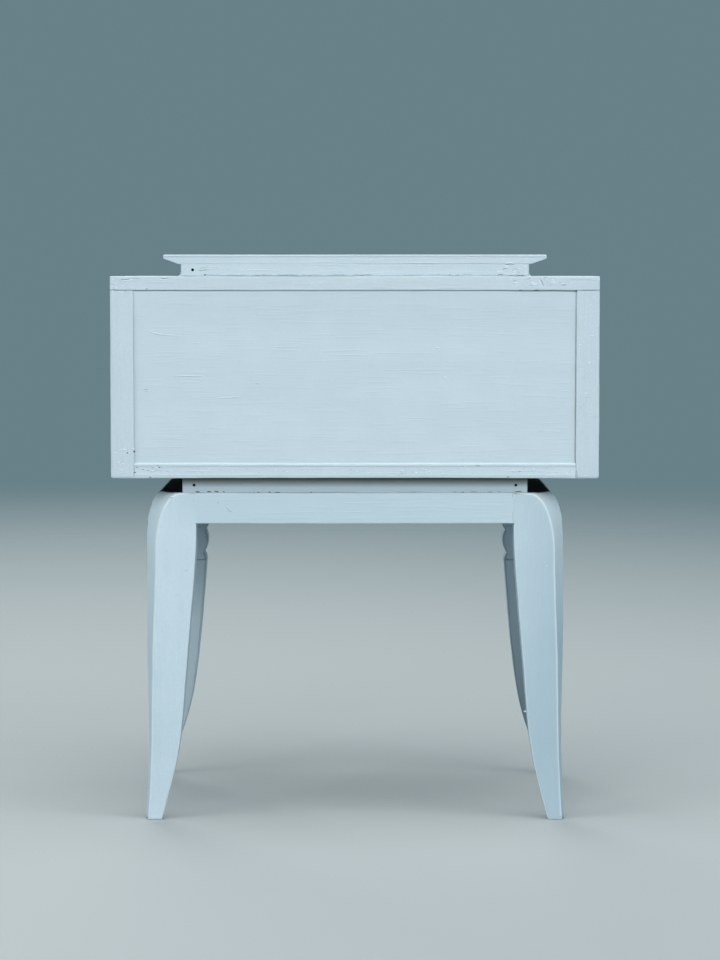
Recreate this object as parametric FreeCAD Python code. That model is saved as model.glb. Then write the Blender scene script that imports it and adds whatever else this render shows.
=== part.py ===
# Nightstand: a boarded case with one drawer, a raised plinth on top and a leg frame with sabre legs.
# Millimetres. +Z is up, the drawer opens towards -Y, and +X is on the right of someone facing the drawer.
# The origin is on the floor under the middle of the whole object, knobs included.
import FreeCAD, Part
import math
import os
from FreeCAD import Vector

# Case
case_width = 500.0
case_depth = 300.0
case_height = 207.0
top_thick = 15.0
side_thick = 24.0
bottom_thick = 16.0
bottom_bevel = 2.2           # bevel on the upper rear edge of the bottom board
arris = 1.0                  # rounding of the outer edges, as left by the brush and by wear
panel_thick = 5.0
panel_recess = 2.5           # from the rear edges of the case to the panel
panel_tongue = 6.0           # depth of the grooves that hold the panel
panel_play = 0.2
tongue_thick = 8.0           # tongues that join the boards of the case
tongue_length = 7.0
tongue_stop = 12.0           # from the ends of a tongue to the front edge and to the panel

# Batten frames above and below the case
batten_width = 24.0
batten_frame_inset = 72.5    # from the ends of the case to the ends of a batten frame
batten_round = 1.5           # rounding of the outer corners of a batten frame
base_batten_height = 15.5
top_batten_height = 12.0
batten_ledge = 10.0          # leg frame standing proud of the battens, front and rear

# Plate on the raised plinth
plate_thick = 9.5
plate_lip = 4.0              # thickness left at the tip, above the bevel
plate_bevel = 15.5           # how far the bevel runs in from the tip
plate_reveal = 2.5           # flat underside showing between bevel and batten
plate_setback_rear = 5.0
plate_setback_front = 10.0
plate_round = 1.2

# Leg frame
frame_height = 338.5
frame_depth = 280.0
frame_setback_rear = 4.0     # from the rear of the case to the rear of the leg frame
rail_height = 31.0
rail_thick = 24.0
rail_inset = 87.0            # from the ends of the case to the joints of rail and leg
side_rail_width = 45.0
leg_depth = 36.0             # front to rear at the top
foot_depth = 13.0            # front to rear on the floor
taper_top = 300.0            # height at which the leg starts to thin from front to rear
foot_trim = 2.0              # length sawn off the foot, so that it stands flat

# Leg outline on its narrow face, the outer one of the frame's front or rear, measured outward from the
# joint of rail and leg
narrow_outer = 42.0          # below the shoulder
narrow_run = 26.0            # shoulder, across
narrow_drop = 60.0           # shoulder, down
narrow_ankle = 48.0
narrow_foot = 50.8
# Leg outline on its wide face, where the side rails join
wide_outer = 53.5
wide_run = 17.0
wide_drop = 50.0
wide_ankle = 55.6
wide_foot = 60.9
# Heights along a leg, and places of its inner edge
ankle_height = 48.0
knee_height = 67.0
calf_height = 124.0
thigh_height = 236.0
inner_thigh = 4.0
inner_calf = 13.5
inner_knee = 20.0
inner_foot = 36.5
foot_flare = 1.3             # slope of the outer edge on the floor, over its mean slope below the ankle
# Extra outward sweep of the front feet
kick_start = 170.0
kick_inner = 15.5
kick_outer = 12.5

# Tenons of the rails in the legs
tenon_length = 24.0
tenon_thick = 10.0
tenon_height = 19.0
tenon_lift = 5.5             # above the lower edge of a rail
side_tenon_length = 14.0
side_tenon_width = 16.0
side_tenon_height = 12.0

# Scallops on the apron and on the inner edges of the front legs
scallop_chord = 25.7
scallop_rise = 3.6
apron_drop = 3.4             # notches between the apron's scallops, below the rails
notch_upper = 4.0            # how far the upper notch is cut in from the joint line
notch_lower = 6.0
ease_height = 9.5            # last rounding, below the lower notch
ease_offset = 3.3
ease_rise = 0.9

# Drawer
drawer_gap = 1.5             # around the drawer front
drawer_inset = 1.0           # drawer front behind the front edges of the case
front_thick = 20.0
drawer_side_thick = 14.0
drawer_side_height = 150.0
drawer_side_lift = 5.0       # drawer side above the lower edge of the drawer front
drawer_back_thick = 12.0
drawer_back_drop = 6.0       # drawer back below the upper edges of the sides
drawer_back_inset = 14.0     # drawer back in from the rear ends of the sides
drawer_rear_space = 12.0     # from the closed drawer to the back panel
housing_depth = 5.0          # of the drawer back in the sides
drawer_bottom_thick = 5.0
drawer_bottom_lift = 10.0    # under the drawer bottom, to the lower edges of the sides
drawer_groove = 6.0
groove_play = 0.15
dovetail_count = 3
dovetail_lap = 6.0           # drawer front left in front of the tails
dovetail_slope = 1.0 / 7.0
dovetail_width = 34.0
joint_play = 0.1             # glue line in tails, tongues, tenons and housings, and around fixings

# Drawer running gear
side_clearance = 2.0         # from drawer side to case side
runner_height = 14.0
runner_engage = 6.5          # how far the runner reaches into the drawer side
runner_play = 0.4
runner_start = 4.0           # behind the drawer front
runner_length = 240.0
stop_width = 40.0
stop_depth = 25.0
stop_height = 4.5
stop_spacing = 300.0
stop_play = 0.3

# Knobs
knob_spacing = 230.0
knob_length = 24.0
knob_base = 9.0              # radii
knob_neck = 5.5
knob_head = 14.5
knob_foot = 2.0              # heights along the knob
knob_waist = 8.0
knob_swell = 11.0            # where the neck starts to widen to the head
knob_rim = 17.5
knob_crown = 5.0

# Fixings
screw_shank = 2.0            # radii
screw_head = 3.8
screw_head_depth = 2.6
base_screw_length = 28.0
top_screw_length = 24.0
frame_screw_length = 28.0
frame_screw_sink = 16.0      # counterbore under the rails
runner_screw_length = 22.0
knob_screw_length = 30.0
nail_radius = 1.1
nail_length = 45.0
nail_sink = 2.5              # a punched nail, below the surface
pin_radius = 0.9
pin_length = 18.0
runner_screws = 2            # in each runner
bottom_pins = 4
screw_spread = 200.0         # between the two screws in one batten
frame_screw_spread = 120.0
fixing_margin = 30.0         # from the end of a board to its first fixing

same_place = 0.01            # places closer together than this count as one

# Levels
rail_bottom = frame_height - rail_height
apron_notch = rail_bottom - apron_drop
case_bottom_z = frame_height + base_batten_height
case_floor_z = case_bottom_z + bottom_thick
case_top_z = case_bottom_z + case_height
case_ceiling_z = case_top_z - top_thick
plate_z = case_top_z + top_batten_height
total_height = plate_z + plate_thick

# Places from front to rear; the knobs are the foremost point
case_rear = (case_depth + knob_length - drawer_inset) / 2
case_front = case_rear - case_depth
frame_rear = case_rear - frame_setback_rear
frame_front = frame_rear - frame_depth
plate_rear = case_rear - plate_setback_rear
plate_front = case_front + plate_setback_front
panel_rear = case_rear - panel_recess
panel_front = panel_rear - panel_thick
drawer_face = case_front + drawer_inset
drawer_shoulder = drawer_face + front_thick
drawer_rear = panel_front - drawer_rear_space

# Places across
joint_x = case_width / 2 - rail_inset
batten_half = case_width / 2 - batten_frame_inset
half_inside = case_width / 2 - side_thick
drawer_half = half_inside - side_clearance
side_rail_outer = joint_x + wide_outer
shoulder_top = side_rail_outer - wide_run
panel_margin = panel_tongue - panel_play

# Heights in the drawer
front_bottom_z = case_floor_z + drawer_gap
front_top_z = case_ceiling_z - drawer_gap
side_bottom_z = front_bottom_z + drawer_side_lift
side_top_z = side_bottom_z + drawer_side_height
bottom_z = side_bottom_z + drawer_bottom_lift
runner_z = (side_bottom_z + side_top_z) / 2
knob_z = (front_bottom_z + front_top_z) / 2


def board(x0, x1, y0, y1, z0, z1):
    """A board between two corners."""
    return Part.makeBox(x1 - x0, y1 - y0, z1 - z0, Vector(x0, y0, z0))


def rounded(shape, radius, wanted):
    """Round the edges whose middle point is wanted."""
    edges = [edge for edge in shape.Edges if wanted(edge.CenterOfMass)]
    return shape.makeFillet(radius, edges)


def near(a, b):
    """Whether two places are the same, within rounding."""
    return abs(a - b) < same_place


def mirrored(shape):
    """The same piece on the other side of the object."""
    return shape.mirror(Vector(0, 0, 0), Vector(1, 0, 0))


def pin(radius, length, position, direction):
    return Part.makeCylinder(radius, length, position, direction)


def screw(length, position, outward, play=0.0):
    """A countersunk screw, or with play its bore, whose head is flush at a position."""
    shank = screw_shank + play
    head = screw_head + play
    tip = length + play
    points = [(0, 0), (head, 0), (shank, -screw_head_depth), (shank, -tip), (0, -tip)]
    outline = Part.makePolygon([Vector(x, 0, z) for x, z in points + points[:1]])
    turned = Part.Face(outline).revolve(Vector(0, 0, 0), Vector(0, 0, 1), 360)
    turned.Placement = FreeCAD.Placement(position, FreeCAD.Rotation(Vector(0, 0, 1), outward))
    return turned


def spread(count, low, high):
    """Evenly spaced places from low to high."""
    return [low + (high - low) * i / (count - 1) for i in range(count)]


DOWN = Vector(0, 0, -1)
UP = Vector(0, 0, 1)
RIGHT = Vector(1, 0, 0)
REAR = Vector(0, 1, 0)
SIDES = (-1, 1)


def top_tongue(play=0.0):
    """The tongue on the upper end of the +X side, or with play its groove in the top board."""
    x = half_inside + (side_thick - tongue_thick) / 2
    return board(x - play, x + tongue_thick + play, case_front + tongue_stop - play,
                 panel_front - tongue_stop + play, case_ceiling_z, case_ceiling_z + tongue_length + play)


def bottom_tongue(play=0.0):
    """The tongue on the +X end of the bottom board, or with play its groove in the side."""
    z = case_bottom_z + (bottom_thick - tongue_thick) / 2
    return board(half_inside, half_inside + tongue_length + play, case_front + tongue_stop - play,
                 panel_front - tongue_stop + play, z - play, z + tongue_thick + play)


def rail_tenon(face, way, play=0.0):
    """The tenon on the +X end of the rear rail or apron, whose outer side is at face, or with play its
    mortise. The way is 1 at the front of the frame and -1 at its rear."""
    y = face + way * rail_thick / 2
    z = rail_bottom + tenon_lift
    return board(joint_x, joint_x + tenon_length + play, y - tenon_thick / 2 - play,
                 y + tenon_thick / 2 + play, z - play, z + tenon_height + play)


def side_rail_tenon(face, way, play=0.0):
    """The tenon on one end of the +X side rail, or with play its mortise in the leg, whose narrow face is
    at face. The way is 1 for the front leg and -1 for the rear leg."""
    x = side_rail_outer - side_rail_width / 2
    z = rail_bottom + tenon_lift
    y0, y1 = sorted((face + way * leg_depth, face + way * (leg_depth - side_tenon_length - play)))
    return board(x - side_tenon_width / 2 - play, x + side_tenon_width / 2 + play, y0, y1,
                 z - play, z + side_tenon_height + play)


def batten_lines(rear, front):
    """Middle lines, front to rear, of the two cross battens of a frame."""
    return (rear - batten_width / 2, front + batten_width / 2)


base_rear = frame_rear - batten_ledge
base_front = frame_front + batten_ledge
top_front = plate_front + plate_bevel + plate_reveal


def base_screw_shapes(play=0.0):
    """Screws down through the bottom board into the base battens."""
    return [screw(base_screw_length, Vector(s * screw_spread / 2, y, case_floor_z), UP, play)
            for s in SIDES for y in batten_lines(base_rear, base_front)]


def top_screw_shapes(play=0.0):
    """Screws up through the top board into the top battens."""
    return [screw(top_screw_length, Vector(s * screw_spread / 2, y, case_ceiling_z), DOWN, play)
            for s in SIDES for y in batten_lines(plate_rear, top_front)]


def frame_screw_places():
    """Screws up through the rear rail and the apron, where these lie under the battens."""
    overlap = (rail_thick - batten_ledge) / 2
    return [Vector(s * frame_screw_spread / 2, y, rail_bottom + frame_screw_sink)
            for s in SIDES for y in (base_rear - overlap, base_front + overlap)]


def frame_screw_shapes(play=0.0):
    return [screw(frame_screw_length, place, DOWN, play) for place in frame_screw_places()]


def frame_counterbores():
    depth = frame_screw_sink + apron_drop + 2 * scallop_rise
    return [pin(screw_head + joint_play, depth, place - UP * depth, UP) for place in frame_screw_places()]


def nail_shapes(rear, front, z, sunk, play=0.0):
    """Nails through the cross battens into the ends of the side battens of one frame."""
    shapes = []
    x = batten_half - batten_width / 2
    for s in SIDES:
        for y, inward in ((rear, -REAR), (front, REAR)):
            sink = nail_sink if (s, y) in sunk else 0.0
            start = Vector(s * x, y, z) + inward * (0.0 if play else sink)
            length = nail_length + (sink if play else 0.0) + play
            shapes.append(pin(nail_radius + play, length, start, inward))
    return shapes


def base_nails(play=0.0):
    sunk = [(-1, base_rear), (1, base_rear)]
    return nail_shapes(base_rear, base_front, frame_height + base_batten_height / 2, sunk, play)


def top_nails(play=0.0):
    sunk = [(1, plate_rear)]
    return nail_shapes(plate_rear, top_front, case_top_z + top_batten_height / 2, sunk, play)


def runner_screw_shapes(play=0.0):
    """Screws through each runner into its case side."""
    first = drawer_shoulder + runner_start
    places = spread(runner_screws, first + fixing_margin, first + runner_length - fixing_margin)
    x = drawer_half - runner_engage
    return [screw(runner_screw_length, Vector(s * x, y, runner_z), RIGHT * -s, play)
            for s in SIDES for y in places]


def knob_screw_shapes(play=0.0):
    """Screws from inside the drawer through its front into the knobs."""
    return [screw(knob_screw_length, Vector(s * knob_spacing / 2, drawer_shoulder, knob_z), REAR, play)
            for s in SIDES]


def bottom_pin_shapes(play=0.0):
    """Pins up through the drawer bottom into the drawer back."""
    y = drawer_rear - drawer_back_inset - drawer_back_thick / 2
    reach = drawer_half - drawer_side_thick - fixing_margin
    return [pin(pin_radius + play, pin_length + play, Vector(x, y, bottom_z), UP)
            for x in spread(bottom_pins, -reach, reach)]


def make_case():
    """The five boards of the case."""
    half = case_width / 2
    groove = board(-half_inside - panel_tongue, half_inside + panel_tongue, panel_front, panel_rear,
                   case_floor_z - panel_tongue, case_ceiling_z + panel_tongue)

    top = board(-half, half, case_front, case_rear, case_ceiling_z, case_top_z)
    top = rounded(top, arris, lambda p: not near(p.z, case_ceiling_z))
    top = top.cut([groove, top_tongue(joint_play), mirrored(top_tongue(joint_play))]
                  + top_screw_shapes(joint_play))

    side = board(half_inside, half, case_front, case_rear, case_bottom_z, case_ceiling_z)
    side = rounded(side, arris, lambda p: near(p.x, half) and not near(p.z, case_ceiling_z))
    side = side.fuse(top_tongue()).cut([groove, bottom_tongue(joint_play)])
    runner_holes = runner_screw_shapes(joint_play)

    bottom = board(-half_inside, half_inside, case_front, case_rear, case_bottom_z, case_floor_z)
    middles = [(edge, edge.CenterOfMass) for edge in bottom.Edges]
    rear_top = [edge for edge, p in middles if near(p.y, case_rear) and near(p.z, case_floor_z)]
    bottom = bottom.makeChamfer(bottom_bevel, rear_top)
    bottom = bottom.fuse([bottom_tongue(), mirrored(bottom_tongue())])
    bottom = bottom.cut([groove] + base_screw_shapes(joint_play))

    panel = board(-half_inside - panel_margin, half_inside + panel_margin,
                  panel_front + panel_play, panel_rear - panel_play,
                  case_floor_z - panel_margin, case_ceiling_z + panel_margin)
    return {"case_top": top, "case_side_left": mirrored(side).cut(runner_holes),
            "case_side_right": side.cut(runner_holes), "case_bottom": bottom, "back_panel": panel}


def make_batten_frame(name, rear, front, z0, z1, holes):
    """Two cross battens with two side battens between them."""
    half = batten_half
    pieces = {}
    for end, y0, y1 in (("rear", rear - batten_width, rear), ("front", front, front + batten_width)):
        outer = rear if end == "rear" else front
        cross = board(-half, half, y0, y1, z0, z1)
        cross = rounded(cross, batten_round, lambda p: near(abs(p.x), half) and near(p.y, outer))
        pieces[name + "_batten_" + end] = cross.cut(holes)
    for label, s in (("left", -1), ("right", 1)):
        x0, x1 = sorted((s * half, s * (half - batten_width)))
        side = board(x0, x1, front + batten_width, rear - batten_width, z0, z1)
        pieces[name + "_batten_" + label] = side.cut(holes)
    return pieces


def make_plate():
    """The plate: a thin lip over an underside that is bevelled at the front and at both ends."""
    half = batten_half + plate_reveal + plate_bevel
    under = half - plate_bevel
    lip_z = plate_z + plate_thick - plate_lip

    def rectangle(x, front, z):
        corners = [(-x, front), (x, front), (x, plate_rear), (-x, plate_rear), (-x, front)]
        return Part.makePolygon([Vector(px, py, z) for px, py in corners])

    bevel = Part.makeLoft([rectangle(under, plate_front + plate_bevel, plate_z),
                           rectangle(half, plate_front, lip_z)], True, True)
    lip = board(-half, half, plate_front, plate_rear, lip_z, total_height)
    plate = lip.fuse(bevel).removeSplitter()
    return rounded(plate, plate_round, lambda p: (near(p.z, lip_z) or near(p.z, total_height))
                   and not near(p.y, plate_rear))


def kick(z, amount):
    """Extra outward sweep of a front leg at a height."""
    return amount * (max(kick_start - z, 0.0) / kick_start) ** 2


def smooth(points, start, end, y):
    """A smooth edge through points of x and z in the plane y, with its directions at both ends."""
    curve = Part.BSplineCurve()
    curve.interpolate(Points=[Vector(x, y, z) for x, z in points],
                      InitialTangent=Vector(start[0], 0, start[1]), FinalTangent=Vector(end[0], 0, end[1]))
    return curve.toShape()


def arc_over(a, b, rise, y):
    """An arc from a to b that bulges by its rise, to the left of someone going from a to b."""
    dx, dz = b[0] - a[0], b[1] - a[1]
    chord = math.hypot(dx, dz)
    middle = ((a[0] + b[0]) / 2 - dz / chord * rise, (a[1] + b[1]) / 2 + dx / chord * rise)
    return Part.Arc(*[Vector(x, y, z) for x, z in (a, middle, b)]).toShape()


def leg_outline(y, run, drop, is_front, *places):
    """Closed outline of a leg on one of its faces, on the +X side. The places are those of its outer edge
    below the shoulder, at the ankle and on the floor."""
    outer, ankle, foot = [joint_x + place for place in places]
    inner_kick, outer_kick = (kick_inner, kick_outer) if is_front else (0.0, 0.0)
    sweep_out = foot_flare * (foot - ankle) / ankle_height + 2 * outer_kick / kick_start
    sweep_in = (inner_foot - inner_knee) / knee_height + 2 * inner_kick / kick_start
    mid_height = (calf_height + thigh_height) / 2
    waist = frame_height - drop
    shoulder = Part.Ellipse(Vector(outer - run, y, frame_height), Vector(outer, y, waist),
                            Vector(outer - run, y, waist))
    foot_out = (foot + kick(0, outer_kick), 0)
    foot_in = (joint_x + inner_foot + kick(0, inner_kick), 0)
    edges = [Part.makeLine(Vector(joint_x, y, frame_height), Vector(outer - run, y, frame_height)),
             Part.ArcOfEllipse(shoulder, 0, math.pi / 2).toShape(),
             smooth([(outer, waist),
                     ((outer + ankle) / 2, mid_height),
                     (ankle + kick(ankle_height, outer_kick), ankle_height),
                     foot_out], (0, -1), (sweep_out, -1), y),
             *Part.makePolygon([Vector(foot_out[0], y, 0), Vector(foot_out[0], y, -foot_trim),
                                Vector(foot_in[0], y, -foot_trim), Vector(foot_in[0], y, 0)]).Edges]
    climb = [foot_in,
             (joint_x + inner_knee + kick(knee_height, inner_kick), knee_height),
             (joint_x + inner_calf + kick(calf_height, inner_kick), calf_height)]
    if is_front:
        lower = (joint_x + notch_lower, apron_notch - 2 * scallop_chord)
        upper = (joint_x + notch_upper, apron_notch - scallop_chord)
        ease = (joint_x + ease_offset, lower[1] - ease_height)
        above_calf = (inner_calf - ease_offset) / (ease[1] - calf_height)
        edges += [smooth(climb + [ease], (-sweep_in, 1), (-above_calf, 1), y),
                  arc_over(ease, lower, ease_rise, y),
                  arc_over(lower, upper, scallop_rise, y),
                  arc_over(upper, (joint_x, apron_notch), scallop_rise, y)]
        top_of_edge = apron_notch
    else:
        climb += [(joint_x + inner_thigh, thigh_height), (joint_x, rail_bottom)]
        edges.append(smooth(climb, (-sweep_in, 1), (0, 1), y))
        top_of_edge = rail_bottom
    edges.append(Part.makeLine(Vector(joint_x, y, top_of_edge), Vector(joint_x, y, frame_height)))
    return Part.Wire(edges)


def leg_taper(narrow, way):
    """What is cut from a leg's wide face below the rails: the leg thins to its foot in one sweep."""
    wide = narrow + way * leg_depth
    thinning = leg_depth - foot_depth
    radius = (taper_top ** 2 + thinning ** 2) / (2 * thinning)
    half_way = radius - math.sqrt(radius ** 2 - (taper_top / 2) ** 2)
    top = Vector(0, wide, taper_top)
    middle = Vector(0, wide - way * half_way, taper_top / 2)
    foot = Vector(0, narrow + way * foot_depth, 0)
    beyond = wide + way * leg_depth
    below = -2 * foot_trim
    corners = [foot, Vector(0, foot.y, below), Vector(0, beyond, below), Vector(0, beyond, taper_top), top]
    outline = Part.Wire([Part.Arc(top, middle, foot).toShape()] + Part.makePolygon(corners).Edges)
    return Part.Face(outline).extrude(RIGHT * case_width)


def make_leg(narrow, way, is_front):
    """A leg on the +X side: its outer face slants from the narrow outline out to the wide one."""
    wide = narrow + way * leg_depth
    narrow_face = leg_outline(narrow, narrow_run, narrow_drop, is_front,
                              narrow_outer, narrow_ankle, narrow_foot)
    wide_face = leg_outline(wide, wide_run, wide_drop, is_front, wide_outer, wide_ankle, wide_foot)
    leg = Part.makeLoft([narrow_face, wide_face], True, True)
    trim = board(0, case_width, frame_front - foot_trim, frame_rear + foot_trim, -2 * foot_trim, 0)
    return leg.cut([trim, leg_taper(narrow, way), rail_tenon(narrow, way, joint_play),
                    side_rail_tenon(narrow, way, joint_play)])


def make_apron():
    """The front apron: its lower edge is a row of scallops between the legs."""
    count = round(2 * joint_x / scallop_chord)
    stations = spread(count + 1, -joint_x, joint_x)
    y = frame_front
    edges = [arc_over((b, apron_notch), (a, apron_notch), scallop_rise, y)
             for a, b in zip(stations, stations[1:])]
    edges.append(Part.makeLine(Vector(-joint_x, y, apron_notch), Vector(-joint_x, y, frame_height)))
    edges.append(Part.makeLine(Vector(-joint_x, y, frame_height), Vector(joint_x, y, frame_height)))
    edges.append(Part.makeLine(Vector(joint_x, y, frame_height), Vector(joint_x, y, apron_notch)))
    outline = Part.Wire(Part.__sortEdges__(edges))
    return Part.Face(outline).extrude(REAR * rail_thick)


def make_side_rail():
    """A side rail on the +X side, with the rounded shoulder of the legs' wide faces."""
    y = frame_front + leg_depth
    inner = side_rail_outer - side_rail_width
    centre_z = frame_height - wide_drop
    shoulder = Part.Ellipse(Vector(shoulder_top, y, frame_height), Vector(side_rail_outer, y, centre_z),
                            Vector(shoulder_top, y, centre_z))
    turn = math.acos((rail_bottom - centre_z) / wide_drop)
    arc = Part.ArcOfEllipse(shoulder, 0, turn).toShape()
    low = arc.valueAt(arc.LastParameter)
    corners = [low, Vector(inner, y, rail_bottom), Vector(inner, y, frame_height),
               Vector(shoulder_top, y, frame_height)]
    outline = Part.Wire([arc] + Part.makePolygon(corners).Edges)
    rail = Part.Face(outline).extrude(REAR * (frame_depth - 2 * leg_depth))
    return rail.fuse([side_rail_tenon(frame_front, 1), side_rail_tenon(frame_rear, -1)])


def tenoned(rail, face, way):
    """A rail with its two tenons and the holes of its screws."""
    tenon = rail_tenon(face, way)
    return rail.fuse([tenon, mirrored(tenon)]).cut(frame_screw_shapes(joint_play) + frame_counterbores())


def make_leg_frame():
    """Four legs joined by a rear rail, a scalloped apron and two side rails."""
    rear_leg = make_leg(frame_rear, -1, False)
    front_leg = make_leg(frame_front, 1, True)
    side_rail = make_side_rail()
    rail = board(-joint_x, joint_x, frame_rear - rail_thick, frame_rear, rail_bottom, frame_height)
    return {"leg_rear_right": rear_leg, "leg_rear_left": mirrored(rear_leg),
            "leg_front_right": front_leg, "leg_front_left": mirrored(front_leg),
            "side_rail_right": side_rail, "side_rail_left": mirrored(side_rail),
            "rear_rail": tenoned(rail, frame_rear, -1),
            "front_apron": tenoned(make_apron(), frame_front, 1),
            "frame_screws": Part.makeCompound(frame_screw_shapes())}


def make_running_gear():
    """Runners screwed to the case sides, and stops on the bottom board behind the drawer front."""
    first = drawer_shoulder + runner_start
    runner = board(drawer_half - runner_engage, half_inside, first, first + runner_length,
                   runner_z - runner_height / 2, runner_z + runner_height / 2)
    holes = runner_screw_shapes(joint_play)
    stops = [board(x - stop_width / 2, x + stop_width / 2, drawer_shoulder + stop_play,
                   drawer_shoulder + stop_play + stop_depth, case_floor_z, case_floor_z + stop_height)
             for x in (-stop_spacing / 2, stop_spacing / 2)]
    return {"runner_right": runner.cut(holes), "runner_left": mirrored(runner).cut(holes),
            "runner_screws": Part.makeCompound(runner_screw_shapes()),
            "drawer_stops": Part.makeCompound(stops)}


def dovetails(play=0.0):
    """The tails on the front end of the +X drawer side, which widen towards the front."""
    length = front_thick - dovetail_lap
    pitch = drawer_side_height / dovetail_count
    x0 = drawer_half - drawer_side_thick - play
    width = drawer_side_thick + (play + drawer_gap if play else 0.0)
    tails = []
    for i in range(dovetail_count):
        z = side_bottom_z + (i + 0.5) * pitch
        wide = dovetail_width / 2 + play
        narrow = wide - length * dovetail_slope
        y0 = drawer_shoulder - length - play
        corners = [(y0, z - wide), (drawer_shoulder, z - narrow), (drawer_shoulder, z + narrow),
                   (y0, z + wide)]
        outline = Part.makePolygon([Vector(x0, y, h) for y, h in corners + corners[:1]])
        tails.append(Part.Face(outline).extrude(RIGHT * width))
    return tails


def make_drawer():
    """The drawer: half-blind dovetails at the front, a housed back and a bottom in grooves."""
    inner = drawer_half - drawer_side_thick
    side = board(inner, drawer_half, drawer_shoulder, drawer_rear, side_bottom_z, side_top_z)
    half_groove = runner_height / 2 + runner_play
    runner_groove = board(drawer_half - runner_engage - runner_play, drawer_half,
                          drawer_shoulder, drawer_rear, runner_z - half_groove, runner_z + half_groove)
    back_y = drawer_rear - drawer_back_inset
    housing = board(inner, inner + housing_depth, back_y - drawer_back_thick, back_y,
                    bottom_z, side_top_z - drawer_back_drop)
    bottom_groove = board(-inner - drawer_groove, inner + drawer_groove,
                          drawer_shoulder - drawer_groove, drawer_rear,
                          bottom_z - groove_play, bottom_z + drawer_bottom_thick + groove_play)
    side = side.fuse(dovetails()).removeSplitter().cut([runner_groove, housing, bottom_groove])

    front = board(-half_inside + drawer_gap, half_inside - drawer_gap, drawer_face, drawer_shoulder,
                  front_bottom_z, front_top_z)
    front = rounded(front, arris, lambda p: near(p.y, drawer_face))
    sockets = dovetails(joint_play)
    sockets += [mirrored(socket) for socket in sockets]
    front = front.cut(sockets + [bottom_groove] + knob_screw_shapes(joint_play))

    pins = bottom_pin_shapes(joint_play)
    reach = inner + housing_depth - joint_play
    back = board(-reach, reach, back_y - drawer_back_thick + joint_play, back_y - joint_play,
                 bottom_z + drawer_bottom_thick, side_top_z - drawer_back_drop).cut(pins)
    reach = inner + drawer_groove - panel_play
    bottom = board(-reach, reach, drawer_shoulder - drawer_groove + panel_play, back_y,
                   bottom_z, bottom_z + drawer_bottom_thick).cut(pins)
    return {"drawer_side_right": side, "drawer_side_left": mirrored(side), "drawer_front": front,
            "drawer_back": back, "drawer_bottom": bottom,
            "bottom_pins": Part.makeCompound(bottom_pin_shapes())}


def make_knob(x):
    """A turned knob: a base, a slim waisted neck and a head with a thin rim and a low dome."""
    shoulder = knob_length - knob_crown
    radius = (knob_head ** 2 + knob_crown ** 2) / (2 * knob_crown)
    half_way = math.asin(knob_head / radius) / 2
    profile = [(0, 0), (knob_base, 0), (knob_base, knob_foot), (knob_neck, knob_waist),
               (knob_neck, knob_swell), (knob_head, knob_rim), (knob_head, shoulder)]
    stem = Part.makePolygon([Vector(r, 0, z) for r, z in profile])
    dome = Part.Arc(Vector(knob_head, 0, shoulder),
                    Vector(radius * math.sin(half_way), 0, knob_length - radius * (1 - math.cos(half_way))),
                    Vector(0, 0, knob_length))
    axis = Part.makeLine(Vector(0, 0, knob_length), Vector(0, 0, 0))
    outline = Part.Wire(stem.Edges + [dome.toShape(), axis])
    turned = Part.Face(outline).revolve(Vector(0, 0, 0), Vector(0, 0, 1), 360)
    turned.Placement = FreeCAD.Placement(Vector(x, drawer_face, knob_z), FreeCAD.Rotation(UP, -REAR))
    return turned.cut(knob_screw_shapes(joint_play))


def make_nightstand():
    pieces = make_case()
    pieces.update(make_batten_frame("base", base_rear, base_front, frame_height, case_bottom_z,
                                    base_nails(joint_play) + base_screw_shapes(joint_play)
                                    + frame_screw_shapes(joint_play)))
    pieces.update(make_batten_frame("top", plate_rear, top_front, case_top_z, plate_z,
                                    top_nails(joint_play) + top_screw_shapes(joint_play)))
    pieces["top_plate"] = make_plate()
    pieces["base_screws"] = Part.makeCompound(base_screw_shapes())
    pieces["top_screws"] = Part.makeCompound(top_screw_shapes())
    pieces["batten_nails"] = Part.makeCompound(base_nails() + top_nails())
    pieces.update(make_leg_frame())
    pieces.update(make_running_gear())
    pieces.update(make_drawer())
    pieces["knob_left"] = make_knob(-knob_spacing / 2)
    pieces["knob_right"] = make_knob(knob_spacing / 2)
    pieces["knob_screws"] = Part.makeCompound(knob_screw_shapes())
    return pieces


os.makedirs("parts", exist_ok=True)
for name, shape in make_nightstand().items():
    shape.exportStep("parts/" + name + ".step")
    state = "valid" if shape.isValid() else "INVALID"
    print(name, len(shape.Solids), "solids", round(shape.Volume), "mm3", state)
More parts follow.
